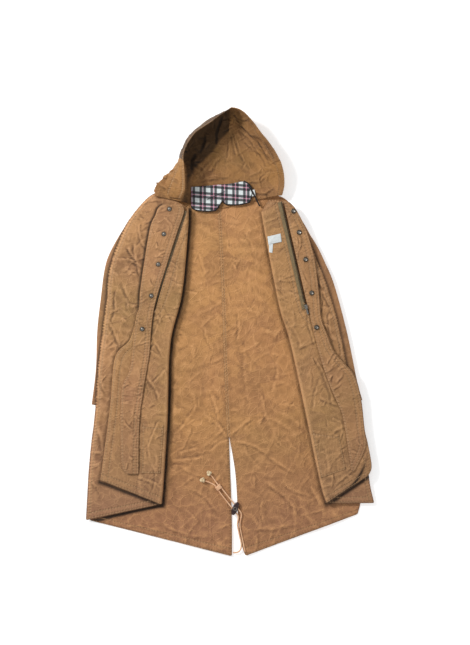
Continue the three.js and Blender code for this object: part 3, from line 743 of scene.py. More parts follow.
# ---------------------------------------------------------------- back
backSettings = {
    "outerRight": [(-172, 418), (-240, 387), (-300, 317), (-335, 225), (-352, 100), (-372, -80), (-392, -233), (-398, -300)],
    "outerRightTail": [(-398, -300), (-403, -330), (-412, -440), (-406, -541)],
    "seam": [(-31, 364), (-20, 150), (-14, -60), (-6, -240), (-3, -296)],
    "ventRight": [(-3, -296), (0, -380), (2.9, -451), (5.8, -555), (5.8, -645)],
    "ventLeft": [(-3, -296), (8, -355), (17.4, -425), (26, -573), (36, -620), (45, -644)],
    "outerLeft": [(100, 404), (150, 396), (183, 366), (225, 300), (262, 220), (296, 120), (330, 0), (355, -130), (380, -300)],
    "outerLeftTail": [(380, -300), (384, -400), (380, -480), (370, -523)],
    "across": 46, "rowsTop": 76, "rowsTail": 40,
    "growth": 0.03, "frames": 24, "lift": 2.2, "covered": 4.0, "highest": 13.5,
    # x1, y1, x2, y2, width, rise and painted valley shade of the large creases, in millimetres
    "creases": [
        (-6, -300, -70, -235, 4, 3.5, 0.25), (0, -300, 62, -246, 4, 3.0, 0.2), (-4, -305, -62, -345, 4, 2.5, 0.2),
        (14, -310, 112, -350, 4, 3.2, 0.25), (112, -352, 190, -402, 5, 3.2, 0.25), (-62, -350, -172, -366, 5, 4.0, 0.3),
        (-92, -332, -150, -350, 4, 2.6, 0.2), (-62, -160, -34, -262, 4, 3.0, 0.2), (-75, 20, -42, -60, 4, 2.0, 0.15),
        (24, 60, 18, -30, 4, 3.0, 0.3), (45, -30, 62, -220, 5, 2.2, 0.2), (138, -80, 118, -182, 5, 2.6, 0.2),
        (-22, -400, -62, -470, 5, 2.6, 0.2), (92, -422, 200, -520, 5, 3.4, 0.25), (150, -432, 230, -470, 4, 2.6, 0.2),
        (-120, -440, -32, -520, 5, 2.6, 0.2), (-190, -556, -62, -590, 5, 3.0, 0.25), (-300, -556, -192, -578, 4, 2.6, 0.2),
        (60, -566, 200, -546, 5, 3.0, 0.25), (200, -530, 330, -508, 4, 2.8, 0.25), (92, -470, 100, -560, 4, 2.2, 0.2),
        (60, 150, 92, 60, 4, 1.6, 0.1), (-92, 250, -62, 160, 4, 1.8, 0.1), (40, 300, 72, 220, 4, 1.6, 0.1),
        (15, -60, 90, -20, 4, 2.2, 0.2), (-95, -200, -160, -290, 5, 2.4, 0.2), (-150, -380, -60, -420, 4, 2.2, 0.2),
        (230, -440, 262, -500, 4, 2.2, 0.2), (-90, 60, -20, 96, 4, 1.6, 0.15), (96, -240, 180, -282, 5, 2.0, 0.15),
    ],
}


def shownBack(co):
    """"""
    right = np.interp(-co[:, 1] / mm, -lines["rightTurn"][:, 1], lines["rightTurn"][:, 0])
    left = np.interp(-co[:, 1] / mm, -lines["leftTurn"][:, 1], lines["leftTurn"][:, 0])
    x = co[:, 0] / mm
    inside = ramp(x, right - 4, right + 22) * (1 - ramp(x, left - 22, left + 4))
    return np.clip(inside + ramp(-co[:, 1] / mm, 500, 530), 0, 1)


def makeBack(s):
    halves = []
    for side in ("Right", "Left"):
        rows = s["rowsTop"], s["rowsTail"]
        out = np.vstack([rail(s["outer" + side], rows[0] + 1)[:-1], rail(s["outer" + side + "Tail"], rows[1] + 1)])
        middle = np.vstack([rail(s["seam"], rows[0] + 1)[:-1], rail(s["vent" + side], rows[1] + 1)])
        ends = (out, middle) if side == "Right" else (middle, out)
        piece, u, t = ruled("back" + side, *ends, s["across"], sum(rows), s["lift"])
        if side == "Left":
            width = np.linalg.norm(between(out, t) - between(middle, t), axis=1) * mm
            storeVector(piece, "seamPlace", np.column_stack([(1 - u) * width, u * width, t * 1.0]))
        halves.append(piece)
    bm = bmesh.new()
    for piece in halves:
        bm.from_mesh(piece.data)
        bpy.data.objects.remove(piece)
    bmesh.ops.remove_doubles(bm, verts=bm.verts, dist=0.0004)
    bmesh.ops.recalc_face_normals(bm, faces=bm.faces)
    rim = np.array([v.is_boundary for v in bm.verts])
    piece = meshObject("backCloth", bm, smooth=True)
    co = points(piece)
    shown = shownBack(co)
    crumples = s["creases"] + scattered(3, 330, (-210, -640, 370, 360), (16, 90), (0.5, 1.9))
    rise, paintedShade = creases(co, crumples)
    z = 1.8 + 1.6 * ridgesAt(co, 7.0, 1, turn=0.3) + 2.2 * np.abs(noiseAt(co, 6.0, 2)) + 0.7 * rise
    co[:, 2] = np.maximum(1.0, z * (0.25 + 0.75 * shown)) * mm
    place(piece, co)
    settle(piece, (shown < 0.02) | rim, s["growth"], s["frames"], 0.6)
    refine(piece)
    co = points(piece)
    shown = shownBack(co)
    rise, paintedShade = creases(co, crumples)
    z = neighbourMean(piece, co[:, 2], 7) / mm + 0.85 * rise * shown
    z += (1.4 * ridgesAt(co, 14.0, 5, turn=-0.5, stretch=0.7) + 0.5 * ridgesAt(co, 30.0, 7, turn=0.7)) * shown
    z += (0.25 * noiseAt(co, 60.0, 6) + 3.2 * noiseAt(co, 5.5, 8, octaves=2)) * shown
    z = softCap(z, s["covered"] + (s["highest"] - s["covered"]) * shown)
    x, y = co[:, 0] / mm, co[:, 1] / mm
    collar = ramp(y - 0.3 * np.abs(x + 31), 335, 352)
    z = z * (1 - collar) + 1.4 * collar
    middle = np.interp(-y, [-351, -150, 60, 240, 300], [-31, -20, -14, -6, -3])
    offSeam = np.abs(x - middle) + 99 * (y < -300)
    z += 1.0 * np.exp(-(offSeam / 5.0) ** 2) + 0.45 * np.exp(-(offSeam / 4) ** 2) * np.sin(y / 1.4 + x)
    # the cord lock slides up the cloth, which lies flat under its path
    path = rail([(15, -506), (-22, -459)], 12)
    z = np.minimum(z, 3.4 + 12 * (1 - nearLine(co, path, 24.0)) ** 3)
    co[:, 2] = np.maximum(z, 0.7) * mm
    place(piece, co)
    # painted shade in crease valleys, painted shadows cast by the turned fronts' edges and the hems, and a dark dotted
    # line along the centre back seam
    shadeAndSeamDark = 0.5 * paintedShade * shown
    shadeAndSeamDark += 1.1 * nearLine(co, lines["rightTurn"] + [3, 0], 4.6) + 0.45 * nearLine(co, lines["leftTurn"] - [3, 0], 4.5)
    shadeAndSeamDark += 0.25 * nearLine(co, lines["rightTurn"] + [6, 0], 11.0)
    shadeAndSeamDark += 0.35 * np.exp(-(offSeam / 2.5) ** 2) * (0.5 + 0.5 * np.sin(y / 1.35))
    low = (y < -470).astype(float)
    shadeAndSeamDark += 1.3 * low * nearLine(co, rail([(-197, -499), (-288, -517), (-414, -548)], 30), 6.0)
    shadeAndSeamDark += 0.75 * low * nearLine(co, rail([(280, -494), (350, -470), (418, -484)], 30), 8.0)
    finishSheet(piece, "back",
                waxedCotton("backLining", *tan["lining"], seams=(("hem", 0.021), ("hem", 0.003), ("right", 0.003))),
                ("right_back_panel", "left_back_panel", "centre_back_seam", "right_hem_tunnel", "left_hem_tunnel"), shadeAndSeamDark=shadeAndSeamDark)
    return piece


back = makeBack(backSettings)
print("back ready")


# ---------------------------------------------------------------- side fronts (outer face up)
sideSettings = {
    "right": {
        "outer": [(-200, 414), (-240, 390), (-292, 327), (-325, 257), (-350, 180), (-358, 97), (-368, 10), (-380, -80),
                  (-390, -233), (-400, -312), (-408, -400), (-417, -540)],
        "creases": [(-296, 250, -262, 205, 4, 5, 0.7), (-300, 215, -250, 190, 4, 4, 0.6), (-275, 262, -255, 160, 4, 4, 0.6),
                    (-310, 150, -290, 60, 5, 3, 0.4), (-340, 30, -300, -60, 5, 4, 0.5), (-345, -60, -285, -80, 4, 3, 0.4),
                    (-400, -420, -330, -500, 5, 3, 0.3), (-330, -470, -250, -500, 5, 3, 0.3),
                    (-262, 300, -240, 240, 4, 3, 0.4), (-330, 120, -346, 10, 4, 3, 0.5), (-300, -20, -330, -100, 4, 3, 0.4),
                    (-385, -260, -365, -380, 5, 3, 0.3), (-380, -100, -352, -180, 4, 3, 0.3)],
        "seams": (("hem", 0.004), ("hem", 0.018), ("left", 0.012)), "growth": 0.03,
    },
    "left": {
        "outer": [(112, 386), (150, 383), (170, 374), (200, 322), (235, 252), (270, 170), (300, 80), (325, -20), (345, -120),
                  (375, -207), (385, -277), (395, -350), (404, -433), (417, -490)],
        "creases": [(285, 60, 300, -20, 4, 4, 0.5), (300, -60, 340, -120, 4, 4, 0.5), (330, -180, 360, -260, 4, 3, 0.3),
                    (268, 120, 292, 60, 4, 3, 0.6), (250, 190, 268, 130, 4, 3, 0.5), (310, 0, 322, -90, 4, 3, 0.4)],
        "seams": (("hem", 0.004), ("hem", 0.018), ("right", 0.012)), "growth": 0.03,
    },
}


def makeSideFront(side, s):
    outer, turn = rail(s["outer"], 130), rail(outlines[side + "Turn"], 130)
    ends = (outer, turn) if side == "right" else (turn, outer)
    piece, u, t = ruled(side + "SideFront", *ends, 34, 120, 16)
    co = points(piece)
    area = (-420, -540, -150, 400) if side == "right" else (150, -490, 420, 380)
    crumples = s["creases"] + scattered(17 if side == "right" else 18, 190, area, (14, 60), (0.8, 3.0))
    rise, paintedShade = creases(co, crumples)
    co[:, 2] = np.clip(16.0 + rise * 0.6 + 1.5 * ridgesAt(co, 9.0, 11), 15.2, 22) * mm
    place(piece, co)
    border = (u < 0.001) | (u > 0.999) | (t < 0.001) | (t > 0.999)
    settle(piece, border, s["growth"], 18, 15.0, seed=1)
    refine(piece)
    co = points(piece)
    free = lines[side + "Free"]
    uncovered = np.interp(-co[:, 1] / mm, -free[:, 1], free[:, 0])
    sign = -1 if side == "right" else 1
    beyond = ramp((co[:, 0] / mm - uncovered) * sign, -2, 14)
    rise, paintedShade = creases(co, crumples)
    z = neighbourMean(piece, co[:, 2], 4) / mm + 0.9 * rise * beyond
    z += (1.6 * ridgesAt(co, 16.0, 14, turn=0.6) + 0.5 * ridgesAt(co, 31.0, 21)) * beyond
    z += 2.4 * (noiseAt(co, 8.0, 16, octaves=2) + 0.3) * beyond
    z = 15.0 + softCap(z - 15.0, 5.2 + 6.5 * beyond)
    edge = outer
    spots = co[:, :2] / mm
    fromOuter = np.min([np.linalg.norm(spots - p, axis=1) for p in edge], axis=0)
    z = roundedSide(z, fromOuter, 11.0, 15.0)
    low = ramp(-co[:, 1] / mm, 380, 530)
    z = z * (1 - low) + (z * 0.5 + 0.5) * low
    co[:, 2] = z * mm
    place(piece, co)
    upper = ramp(co[:, 1] / mm, 20, 110)
    # painted shade in crease valleys and painted shadows under the fly's edge, the turned front's free edge and its hem
    shadeAndSeamDark = paintedShade * beyond + (0.95 if side == "right" else 0.35) * nearLine(co, lines[side + "FlyFree"] + [4 * sign, 0], 4.2) * upper
    shadeAndSeamDark += 0.3 * nearLine(co, free + [3 * sign, 0], 3.5)
    hem = [(-376, -429), (-198, -498)] if side == "right" else [(280, -497), (402, -412)]
    shadeAndSeamDark += 1.1 * nearLine(co, rail(hem, 20), 5.5)
    finishSheet(piece, "back", waxedCotton(side + "Shell", *tan["shell"], seams=s["seams"]),
                (side + "_side_front", side + "_side_seam", side + "_shoulder_seam"), shadeAndSeamDark=shadeAndSeamDark)
    return piece


rightSide = makeSideFront("right", sideSettings["right"])
leftSide = makeSideFront("left", sideSettings["left"])
print("side fronts ready")


# ---------------------------------------------------------------- turned-back fronts (inner face up)
frontSettings = {
    "right": {
        "creases": [(-265, -60, -222, -20, 5, 5, 0.5), (-222, -20, -190, -70, 4, 3, 0.4), (-345, -110, -290, -60, 4, 4, 0.4),
                    (-240, -120, -200, -200, 5, 4, 0.3), (-250, -180, -300, -110, 5, 3, 0.3), (-215, -330, -225, -470, 4, 4, 0.4),
                    (-240, -300, -205, -420, 4, 3, 0.3), (-345, -292, -300, -270, 3, 4, 0.4), (-355, -400, -330, -300, 4, 3, 0.3),
                    (-300, -410, -220, -430, 5, 3, 0.3), (-200, -250, -235, -330, 4, 4, 0.3), (-150, 200, -172, 120, 4, 2, 0.2),
                    (-190, 60, -215, -10, 4, 3, 0.3), (-186, -100, -232, -150, 4, 3, 0.3), (-360, -300, -345, -420, 4, 3, 0.3)],
        "seams": (("left", 0.006), ("left", 0.022), ("hem", 0.004), ("hem", 0.02)), "growth": 0.022,
    },
    "left": {
        "creases": [(120, 180, 150, 90, 5, 3, 0.25), (150, 60, 215, -60, 6, 4, 0.3), (225, 60, 250, -40, 4, 4, 0.5),
                    (240, -60, 300, -220, 5, 4, 0.4), (255, -180, 330, -210, 4, 3, 0.3), (280, -300, 345, -260, 4, 3, 0.3),
                    (265, -120, 240, -230, 5, 3, 0.3), (300, -440, 380, -380, 4, 4, 0.4), (330, -400, 390, -330, 4, 3, 0.3),
                    (270, -420, 330, -330, 4, 3, 0.3), (190, -40, 262, -10, 4, 3, 0.3), (262, -300, 285, -420, 4, 3, 0.3)],
        "seams": (("right", 0.006), ("right", 0.02), ("hem", 0.004), ("hem", 0.018)), "growth": 0.02,
    },
}
foldRadius = 3.6


def makeTurnedFront(side, s):
    free, turn = rail(outlines[side + "Free"], 140), rail(outlines[side + "Turn"], 140)
    ends = (free, turn) if side == "right" else (turn, free)
    piece, u, t = ruled(side + "TurnedFront", *ends, 34, 130, 22.6)
    co = points(piece)
    area = (-380, -500, -120, 350) if side == "right" else (90, -490, 410, 380)
    crumples = s["creases"] + scattered(27 if side == "right" else 28, 190, area, (14, 64), (0.8, 3.0))
    rise, paintedShade = creases(co, crumples)
    co[:, 2] = np.clip(22.2 + rise * 0.6 + 1.5 * ridgesAt(co, 9.0, 31), 21.4, 28) * mm
    place(piece, co)
    border = (u < 0.001) | (u > 0.999) | (t < 0.001) | (t > 0.999)
    settle(piece, border, s["growth"], 18, 21.2, seed=2)
    refine(piece)
    co = points(piece)
    seam = np.empty(len(co) * 3, np.float32)
    piece.data.attributes["seamPlace"].data.foreach_get("vector", seam)
    seam = seam.reshape(-1, 3) / mm
    fromTurn, fromFree = (seam[:, 1], seam[:, 0]) if side == "right" else (seam[:, 0], seam[:, 1])
    flyInner = lines[side + "FlyInner"]
    bare = np.interp(-co[:, 1] / mm, -flyInner[::-1, 1] if flyInner[0, 1] < flyInner[-1, 1] else -flyInner[:, 1],
                     flyInner[::-1, 0] if flyInner[0, 1] < flyInner[-1, 1] else flyInner[:, 0])
    sign = -1 if side == "right" else 1
    open_ = 1 - ramp((co[:, 0] / mm - bare) * sign, -6, 6)
    rise, paintedShade = creases(co, crumples)
    z = neighbourMean(piece, co[:, 2], 4) / mm + 0.9 * rise * open_
    z += (1.6 * ridgesAt(co, 15.0, 41, turn=-0.6) + 0.5 * ridgesAt(co, 33.0, 42)) * (0.3 + 0.7 * open_)
    z += 2.4 * (noiseAt(co, 8.0, 43, octaves=2) + 0.3) * open_
    z = 21.0 + softCap(z - 21.0, 5.4 + 6.0 * open_)
    z = z - foldRadius * 1.9 * (1 - np.sqrt(np.clip(1 - np.clip(1 - fromTurn / 8.0, 0, 1) ** 2, 0, 1)))
    z = roundedSide(z, fromFree, 1.8, 5.0)
    low = ramp(-co[:, 1] / mm, 400, 500)
    z = z - 4.5 * low
    co[:, 2] = z * mm
    place(piece, co)
    upper = ramp(co[:, 1] / mm, *((-90, 60) if side == "right" else (0, 90)))
    # painted shade in crease valleys and painted shadows under the fly's inner edge, beside the zip, in the gap at the
    # left hem and round the pocket
    shadeAndSeamDark = paintedShade * open_ * 0.8 + 0.95 * nearLine(co, flyInner + [-2 * sign, 0], 3.4) * (0.2 + 0.8 * upper)
    if side == "left":
        shadeAndSeamDark += 0.55 * nearLine(co, lines["leftZip"] - [10, 2], 3.5)
        gap = rail([(281, -490), (345, -444), (376, -404), (399, -345)], 40)
        shadeAndSeamDark += 1.2 * nearLine(co, gap, 4.5) * ramp(-co[:, 1] / mm, 330, 420)
    pocket = lines[side + "Pocket"]
    shadeAndSeamDark += 0.16 * nearLine(co, pocket, 4.0)
    parts = {"right": ["rightInnerPocket"], "left": ["leftInnerPocket", "mainLabel", "careLabel"]}[side]
    finishSheet(piece, side + "_front", waxedCotton(side + "Inside", *tan["inside"], seams=s["seams"]),
                (side + "_front_panel",), shadeAndSeamDark=shadeAndSeamDark)
    return piece


rightFront = makeTurnedFront("right", frontSettings["right"])
leftFront = makeTurnedFront("left", frontSettings["left"])
print("turned fronts ready")


# ---------------------------------------------------------------- flies
flySettings = {
    "right": {"seams": (("left", 0.005), ("right", 0.004), ("right", 0.014)), "body": "right_front", "snaps": studs},
    "left": {"seams": (("right", 0.005), ("right", 0.018), ("left", 0.004)), "body": "storm_flap", "snaps": sockets},
}


def makeFly(side, s):
    free, inner = rail(outlines[side + "FlyFree"], 120), rail(outlines[side + "FlyInner"], 120)
    ends = (free, inner) if side == "right" else (inner, free)
    piece, u, t = ruled(side + "Fly", *ends, 16, 130, 27.4)
    refine(piece)
    co = points(piece)
    seam = np.empty(len(co) * 3, np.float32)
    piece.data.attributes["seamPlace"].data.foreach_get("vector", seam)
    seam = seam.reshape(-1, 3) / mm
    area = (-320, -400, -120, 390) if side == "right" else (150, -400, 400, 390)
    rise, paintedShade = creases(co, scattered(37 if side == "right" else 38, 210, area, (12, 60), (0.8, 3.0)))
    z = 27.5 + 1.8 * ridgesAt(co, 8.0, 51, turn=0.2) + 1.0 * ridgesAt(co, 19.0, 53, turn=-0.7, stretch=0.6)
    z += 2.6 * noiseAt(co, 9.0, 52) + rise
    z = 26.9 + softCap(np.maximum(z - 26.9, 0), 6.0)
    for low, high in s["snaps"]:
        near = np.exp(-(np.linalg.norm(co[:, :2] - np.array(((low + high) / 2)[:2]), axis=1) / 0.011) ** 2)
        z = z * (1 - near) + (low.z / mm - 0.9) * near
    z = roundedSide(z, seam[:, 0], 2.0, 5.0)
    z = roundedSide(z, seam[:, 1], 2.0, 5.0)
    co[:, 2] = z * mm
    place(piece, co)
    # painted shade in crease valleys and a painted shadow ring round each snap
    shadeAndSeamDark = paintedShade * 0.8
    for low, high in s["snaps"]:
        off = np.linalg.norm(co[:, :2] - np.array(((low + high) / 2)[:2]), axis=1) / 0.0095
        shadeAndSeamDark += 0.5 * np.exp(-off ** 4)
    finishSheet(piece, s["body"], waxedCotton(side + "FlyCloth", *tan["shell"], seams=s["seams"]),
                (side + "_fly",), thickness=1.4, shadeAndSeamDark=shadeAndSeamDark)
    return piece


rightFly = makeFly("right", flySettings["right"])
leftFly = makeFly("left", flySettings["left"])
print("flies ready")


# ---------------------------------------------------------------- sleeves
sleeveSettings = {
    "right": {
        "outer": [(-292, 330), (-342, 245), (-362, 190), (-374, 100), (-384, 10), (-388, -103), (-400, -205)],
        "inner": [(-215, 300), (-222, 200), (-232, 120), (-262, -50), (-292, -222)],
    },
    "left": {
        "outer": [(204, 325), (247, 262), (273, 210), (302, 140), (339, 2), (368, -138), (383, -192)],
        "inner": [(150, 280), (158, 200), (166, 120), (214, -50), (262, -217)],
    },
    "middle": 10.2, "halfHeight": 4.7,
}


def makeSleeve(side, s):
    outer, inner = rail(s[side]["outer"], 90), rail(s[side]["inner"], 90)
    piece, u, t = grid(side + "Sleeve", 40, 80)
    a, b = between(outer, t), between(inner, t)
    angle = u * 2 * math.pi
    flat = 0.5 - 0.5 * np.cos(angle)
    squashed = np.sign(np.sin(angle)) * np.abs(np.sin(angle)) ** 0.45
    xy = (a * (1 - flat[:, None]) + b * flat[:, None]) * mm
    co = np.column_stack([xy, np.full(len(xy), s["middle"] * mm)])
    wrinkle = 1.0 * noiseAt(co, 30.0, 61) + 0.8 * ridgesAt(co, 20.0, 62, stretch=0.5)
    co[:, 2] += squashed * (s["halfHeight"] + 0.5 * wrinkle) * mm
    place(piece, co)
    width = np.linalg.norm(a - b, axis=1) * mm
    storeVector(piece, "seamPlace", np.column_stack([u * 2 * width, (1 - u) * 2 * width, t * railLength(outer) * mm]))
    storeVector(piece, "hemPlace", np.column_stack([(1 - t) * railLength(outer) * mm, t * 0.5, u * 2 * width]))
    bm = bmesh.new()
    bm.from_mesh(piece.data)
    bmesh.ops.remove_doubles(bm, verts=bm.verts, dist=0.0002)
    bmesh.ops.recalc_face_normals(bm, faces=bm.faces)
    bm.to_mesh(piece.data)
    bm.free()
    refine(piece)
    co = points(piece)
    reach = rail(sideSettings[side]["outer"], 130)
    # painted shadow of the side front's outer edge on the sleeve's top
    shadeAndSeamDark = 0.8 * nearLine(co, reach, 4.5) * (co[:, 2] > s["middle"] * mm)
    finishSheet(piece, side + "_sleeve",
                waxedCotton(side + "SleeveCloth", *tan["sleeve"], seams=(("hem", 0.006), ("hem", 0.02))),
                [side + "_sleeve_" + part for part in ("under", "upper", "outer_fold", "inner_fold")],
                thickness=1.0, offset=-1.0, shadeAndSeamDark=shadeAndSeamDark)
    return piece


rightSleeve = makeSleeve("right", sleeveSettings)
leftSleeve = makeSleeve("left", sleeveSettings)
print("sleeves ready")


# ---------------------------------------------------------------- hood
hoodSettings = {
    "rimRight": [(-140, 386, 30), (-128, 410, 50), (-128, 450, 62), (-129, 512, 74), (-102, 562, 78), (-55, 598, 72),
                 (-18, 626, 64), (6, 643, 60)],
    "flareRight": [(-262, 404), (-258, 440), (-212, 466), (-172, 496), (-158, 530), (-136, 572), (-78, 618), (-24, 638),
                   (6, 645)],
    # the hood's base lies over the right shoulder
    "shoulder": (-150, 458, 21.5),
    "spine": [(-32, 360), (-18, 470), (-6, 565)],
    "rimLeft": [(150, 398, 20), (156, 430, 28), (150, 480, 38), (126, 528, 44), (90, 572, 50), (56, 614, 56), (30, 636, 59),
                (6, 643, 60)],
    "flareLeft": [(120, 396), (120, 436), (114, 480), (98, 522), (72, 566), (48, 606), (24, 630), (6, 645)],
    # where the shaded inside of the right wall ends, from the crown to the neck
    "shade": [(4, 650), (4, 589), (-24, 563), (-47, 527), (-92, 485), (-115, 444), (-121, 400)],
    "shadeDepth": 0.8,
    "across": 80, "along": 60, "floor": 3.6, "wallShare": 0.62, "facing": 0.028,
    "creases": [
        (-17, 628, -35, 544, 4, 4, 0.95), (-67, 573, -81, 518, 4, 4, 0.9), (-93, 520, -104, 470, 5, 3, 0.9),
        (20, 600, 112, 480, 4, 5, 0.55), (10, 592, 62, 470, 4, 5, 0.5), (12, 618, 128, 494, 3, 6, 0.95),
        (14, 634, 96, 556, 4, 5, 0.7), (60, 590, 140, 498, 4, 4, 0.5), (4, 640, 60, 612, 3, 4, 0.7),
        (0, 566, -12, 492, 4, 4, 0.4), (9, 584, 22, 512, 4, 4, 0.45), (-60, 470, -16, 520, 4, 4, 0.4),
        (40, 560, 96, 520, 4, 4, 0.4), (-90, 440, 10, 452, 4, 4, 0.5), (10, 452, 92, 440, 4, 4, 0.5),
        (67, 408, 114, 404, 4, 4, 0.7), (90, 404, 128, 424, 4, 4, 0.45), (80, 548, 124, 488, 4, 4, 0.6),
        (-190, 470, -146, 470, 4, 4, 0.4), (-196, 452, -140, 432, 4, 4, 0.5), (-204, 430, -150, 410, 4, 4, 0.5),
        (-176, 500, -138, 486, 4, 4, 0.4), (-150, 540, -120, 530, 4, 3, 0.4), (-112, 500, -70, 470, 5, 4, 0.5),
        (-50, 500, -90, 452, 4, 3, 0.4), (50, 500, 20, 460, 4, 3, 0.35), (118, 470, 90, 440, 4, 3, 0.35),
    ],
}


def makeHood(s):
    piece, u, v = grid("hoodCloth", s["across"], s["along"])
    v = 1 - v
    spine = between(rail(s["spine"], 80), v)
    co = np.zeros((len(u), 3))
    for side, half in (("Right", u < 0.5), ("Left", u >= 0.5)):
        rim, flare = between(rail(s["rim" + side], 80), v), between(rail(s["flare" + side], 80), v)
        share = 2 * np.minimum(u, 1 - u)
        a, b, c, d = rim[:, :2], flare, flare * 0.94 + spine * 0.06, spine
        k = share[:, None]
        xy = a * (1 - k) ** 3 + 3 * b * k * (1 - k) ** 2 + 3 * c * k * k * (1 - k) + d * k ** 3
        z = rim[:, 2] * np.clip(1 - share / s["wallShare"], 0, 1) ** 1.5
        co[half, :2], co[half, 2] = xy[half], z[half]
    edgeX, edgeY, top = s["shoulder"]
    over = (1 - ramp(co[:, 0], edgeX, edgeX + 40)) * (1 - ramp(co[:, 1], edgeY, edgeY + 34))
    co[:, 2] = np.maximum(co[:, 2], top * over)
    co *= mm
    co[:, 2] = np.maximum(co[:, 2], 0) + s["floor"] * mm
    place(piece, co)
    bm = bmesh.new()
    bm.from_mesh(piece.data)
    width = 0.42
    bm.free()
    storeVector(piece, "seamPlace", np.column_stack([u * width, (1 - u) * width, v * 0.42]))
    storeVector(piece, "hemPlace", np.column_stack([v * 0.36, (1 - v) * 0.36, u * width]))
    bm = bmesh.new()
    bm.from_mesh(piece.data)
    bmesh.ops.remove_doubles(bm, verts=bm.verts, dist=0.0003)
    bm.to_mesh(piece.data)
    bm.free()
    refine(piece)
    co = points(piece)
    out = normals(piece)
    if out[:, 2].mean() < 0:
        out = -out
    rise, paintedShade = creases(co, s["creases"] + scattered(47, 190, (-210, 370, 150, 640), (12, 50), (0.8, 3.2)))
    seam = np.empty(len(co) * 3, np.float32)
    piece.data.attributes["seamPlace"].data.foreach_get("vector", seam)
    seam = seam.reshape(-1, 3)
    mid = np.exp(-((seam[:, 0] - width / 2) / 0.003) ** 2)
    wide = 5.0 * noiseAt(co, 9.0, 71) + 2.8 * ridgesAt(co, 11.0, 72, turn=0.7, stretch=0.5) + 1.0 * ridgesAt(co, 24.0, 73)
    wide += 0.5 * noiseAt(co, 50.0, 74) + rise * 0.9 + 0.9 * mid
    edge = np.clip(np.minimum(seam[:, 0], seam[:, 1]) / 0.03, 0.35, 1)
    co = co + out * (wide * edge)[:, None] * mm
    co[:, 2] = np.maximum(co[:, 2], (s["floor"] - 0.6) * mm)
    co[:, 1] = np.minimum(co[:, 1], 0.6449 * grade[1] + 0.004)
    place(piece, co)
    flip = normals(piece)[:, 2].mean() < 0
    if flip:
        piece.data.flip_normals()
    x, y = co[:, 0] / mm, co[:, 1] / mm
    rim, shade = np.array(s["rimRight"], float), np.array(s["shade"], float)
    rimX, shadeX = np.interp(y / grade[1], rim[:, 1], rim[:, 0]), np.interp(-y / grade[1], -shade[:, 1], shade[:, 0])
    # painted shade in crease valleys, a slightly darker crown seam, painted shade over the shaded inside of the right
    # wall, and a darker facing band near the left rim
    shadeAndSeamDark = 0.85 * paintedShade + 0.12 * mid
    rightHalf = seam[:, 0] < 0.48 * width
    reach = 60 * ramp(y, 480, 545)
    shadeAndSeamDark += s["shadeDepth"] * ramp(x - rimX + reach, -1, 5) * ramp(shadeX - x, -5, 9) * rightHalf
    shadeAndSeamDark += 0.22 * ramp(x, 20, 60) * (1 - ramp(seam[:, 1], 0.03, 0.036)) * (0.6 + 0.6 * noiseAt(co, 30.0, 75))
    finishSheet(piece, "hood",
                waxedCotton("hoodCotton", *tan["hood"], seams=(("left", s["facing"]), ("right", s["facing"]), ("left", 0.004),
                                                              ("right", 0.004))),
                ("hood_right_half", "hood_left_half", "hood_right_rim", "hood_left_rim"),
                thickness=2.0, offset=-1.0, shadeAndSeamDark=shadeAndSeamDark, gain=500.0)
    return piece


hood = makeHood(hoodSettings)
print("hood ready")


# ---------------------------------------------------------------- neck band
bandSettings = {
    "upper": [(-113, 424), (-60, 428), (0, 433), (38, 439), (56, 430), (64, 416)],
    "lower": [(-112, 368), (-104, 359), (-78, 354), (-46, 355), (-36, 362), (-22, 384), (-12, 374), (20, 372), (44, 376),
              (57, 380)],
    "lift": 10.0, "pleat": (-66, 387, -16, 410), "notch": (-44, 355, -14, 388),
    "pipeRadius": 1.9,
    "strap": [(56, 424, 11), (64, 410, 13), (74, 392, 12), (86, 368, 9)],
    "tab": [(58, 414), (71, 416), (74, 398), (62, 396)],
}


def tube(name, route, radius, material, sides=10, closed=False):
    bm = bmesh.new()
    path = np.array(route, float)
    ring = None
    for i, p in enumerate(path):
        ahead = path[min(i + 1, len(path) - 1)] - path[max(i - 1, 0)]
        turn = Vector(ahead).to_track_quat("Z", "Y").to_matrix().to_4x4()
        made = bmesh.ops.create_circle(bm, segments=sides, radius=radius * mm, matrix=Matrix.Translation(Vector(p) * mm) @ turn)
        edges = list({e for v in made["verts"] for e in v.link_edges if all(w in made["verts"] for w in e.verts)})
        if ring:
            bmesh.ops.bridge_loops(bm, edges=ring + edges)
        ring = edges
    bmesh.ops.holes_fill(bm, edges=[e for e in bm.edges if e.is_boundary])
    bmesh.ops.recalc_face_normals(bm, faces=bm.faces)
    piece = meshObject(name, bm, smooth=True)
    piece.data.materials.append(material)
    return piece


blackBinding = plainCloth("blackBinding", srgb(24, 20, 20), srgb(44, 38, 36), 300.0)


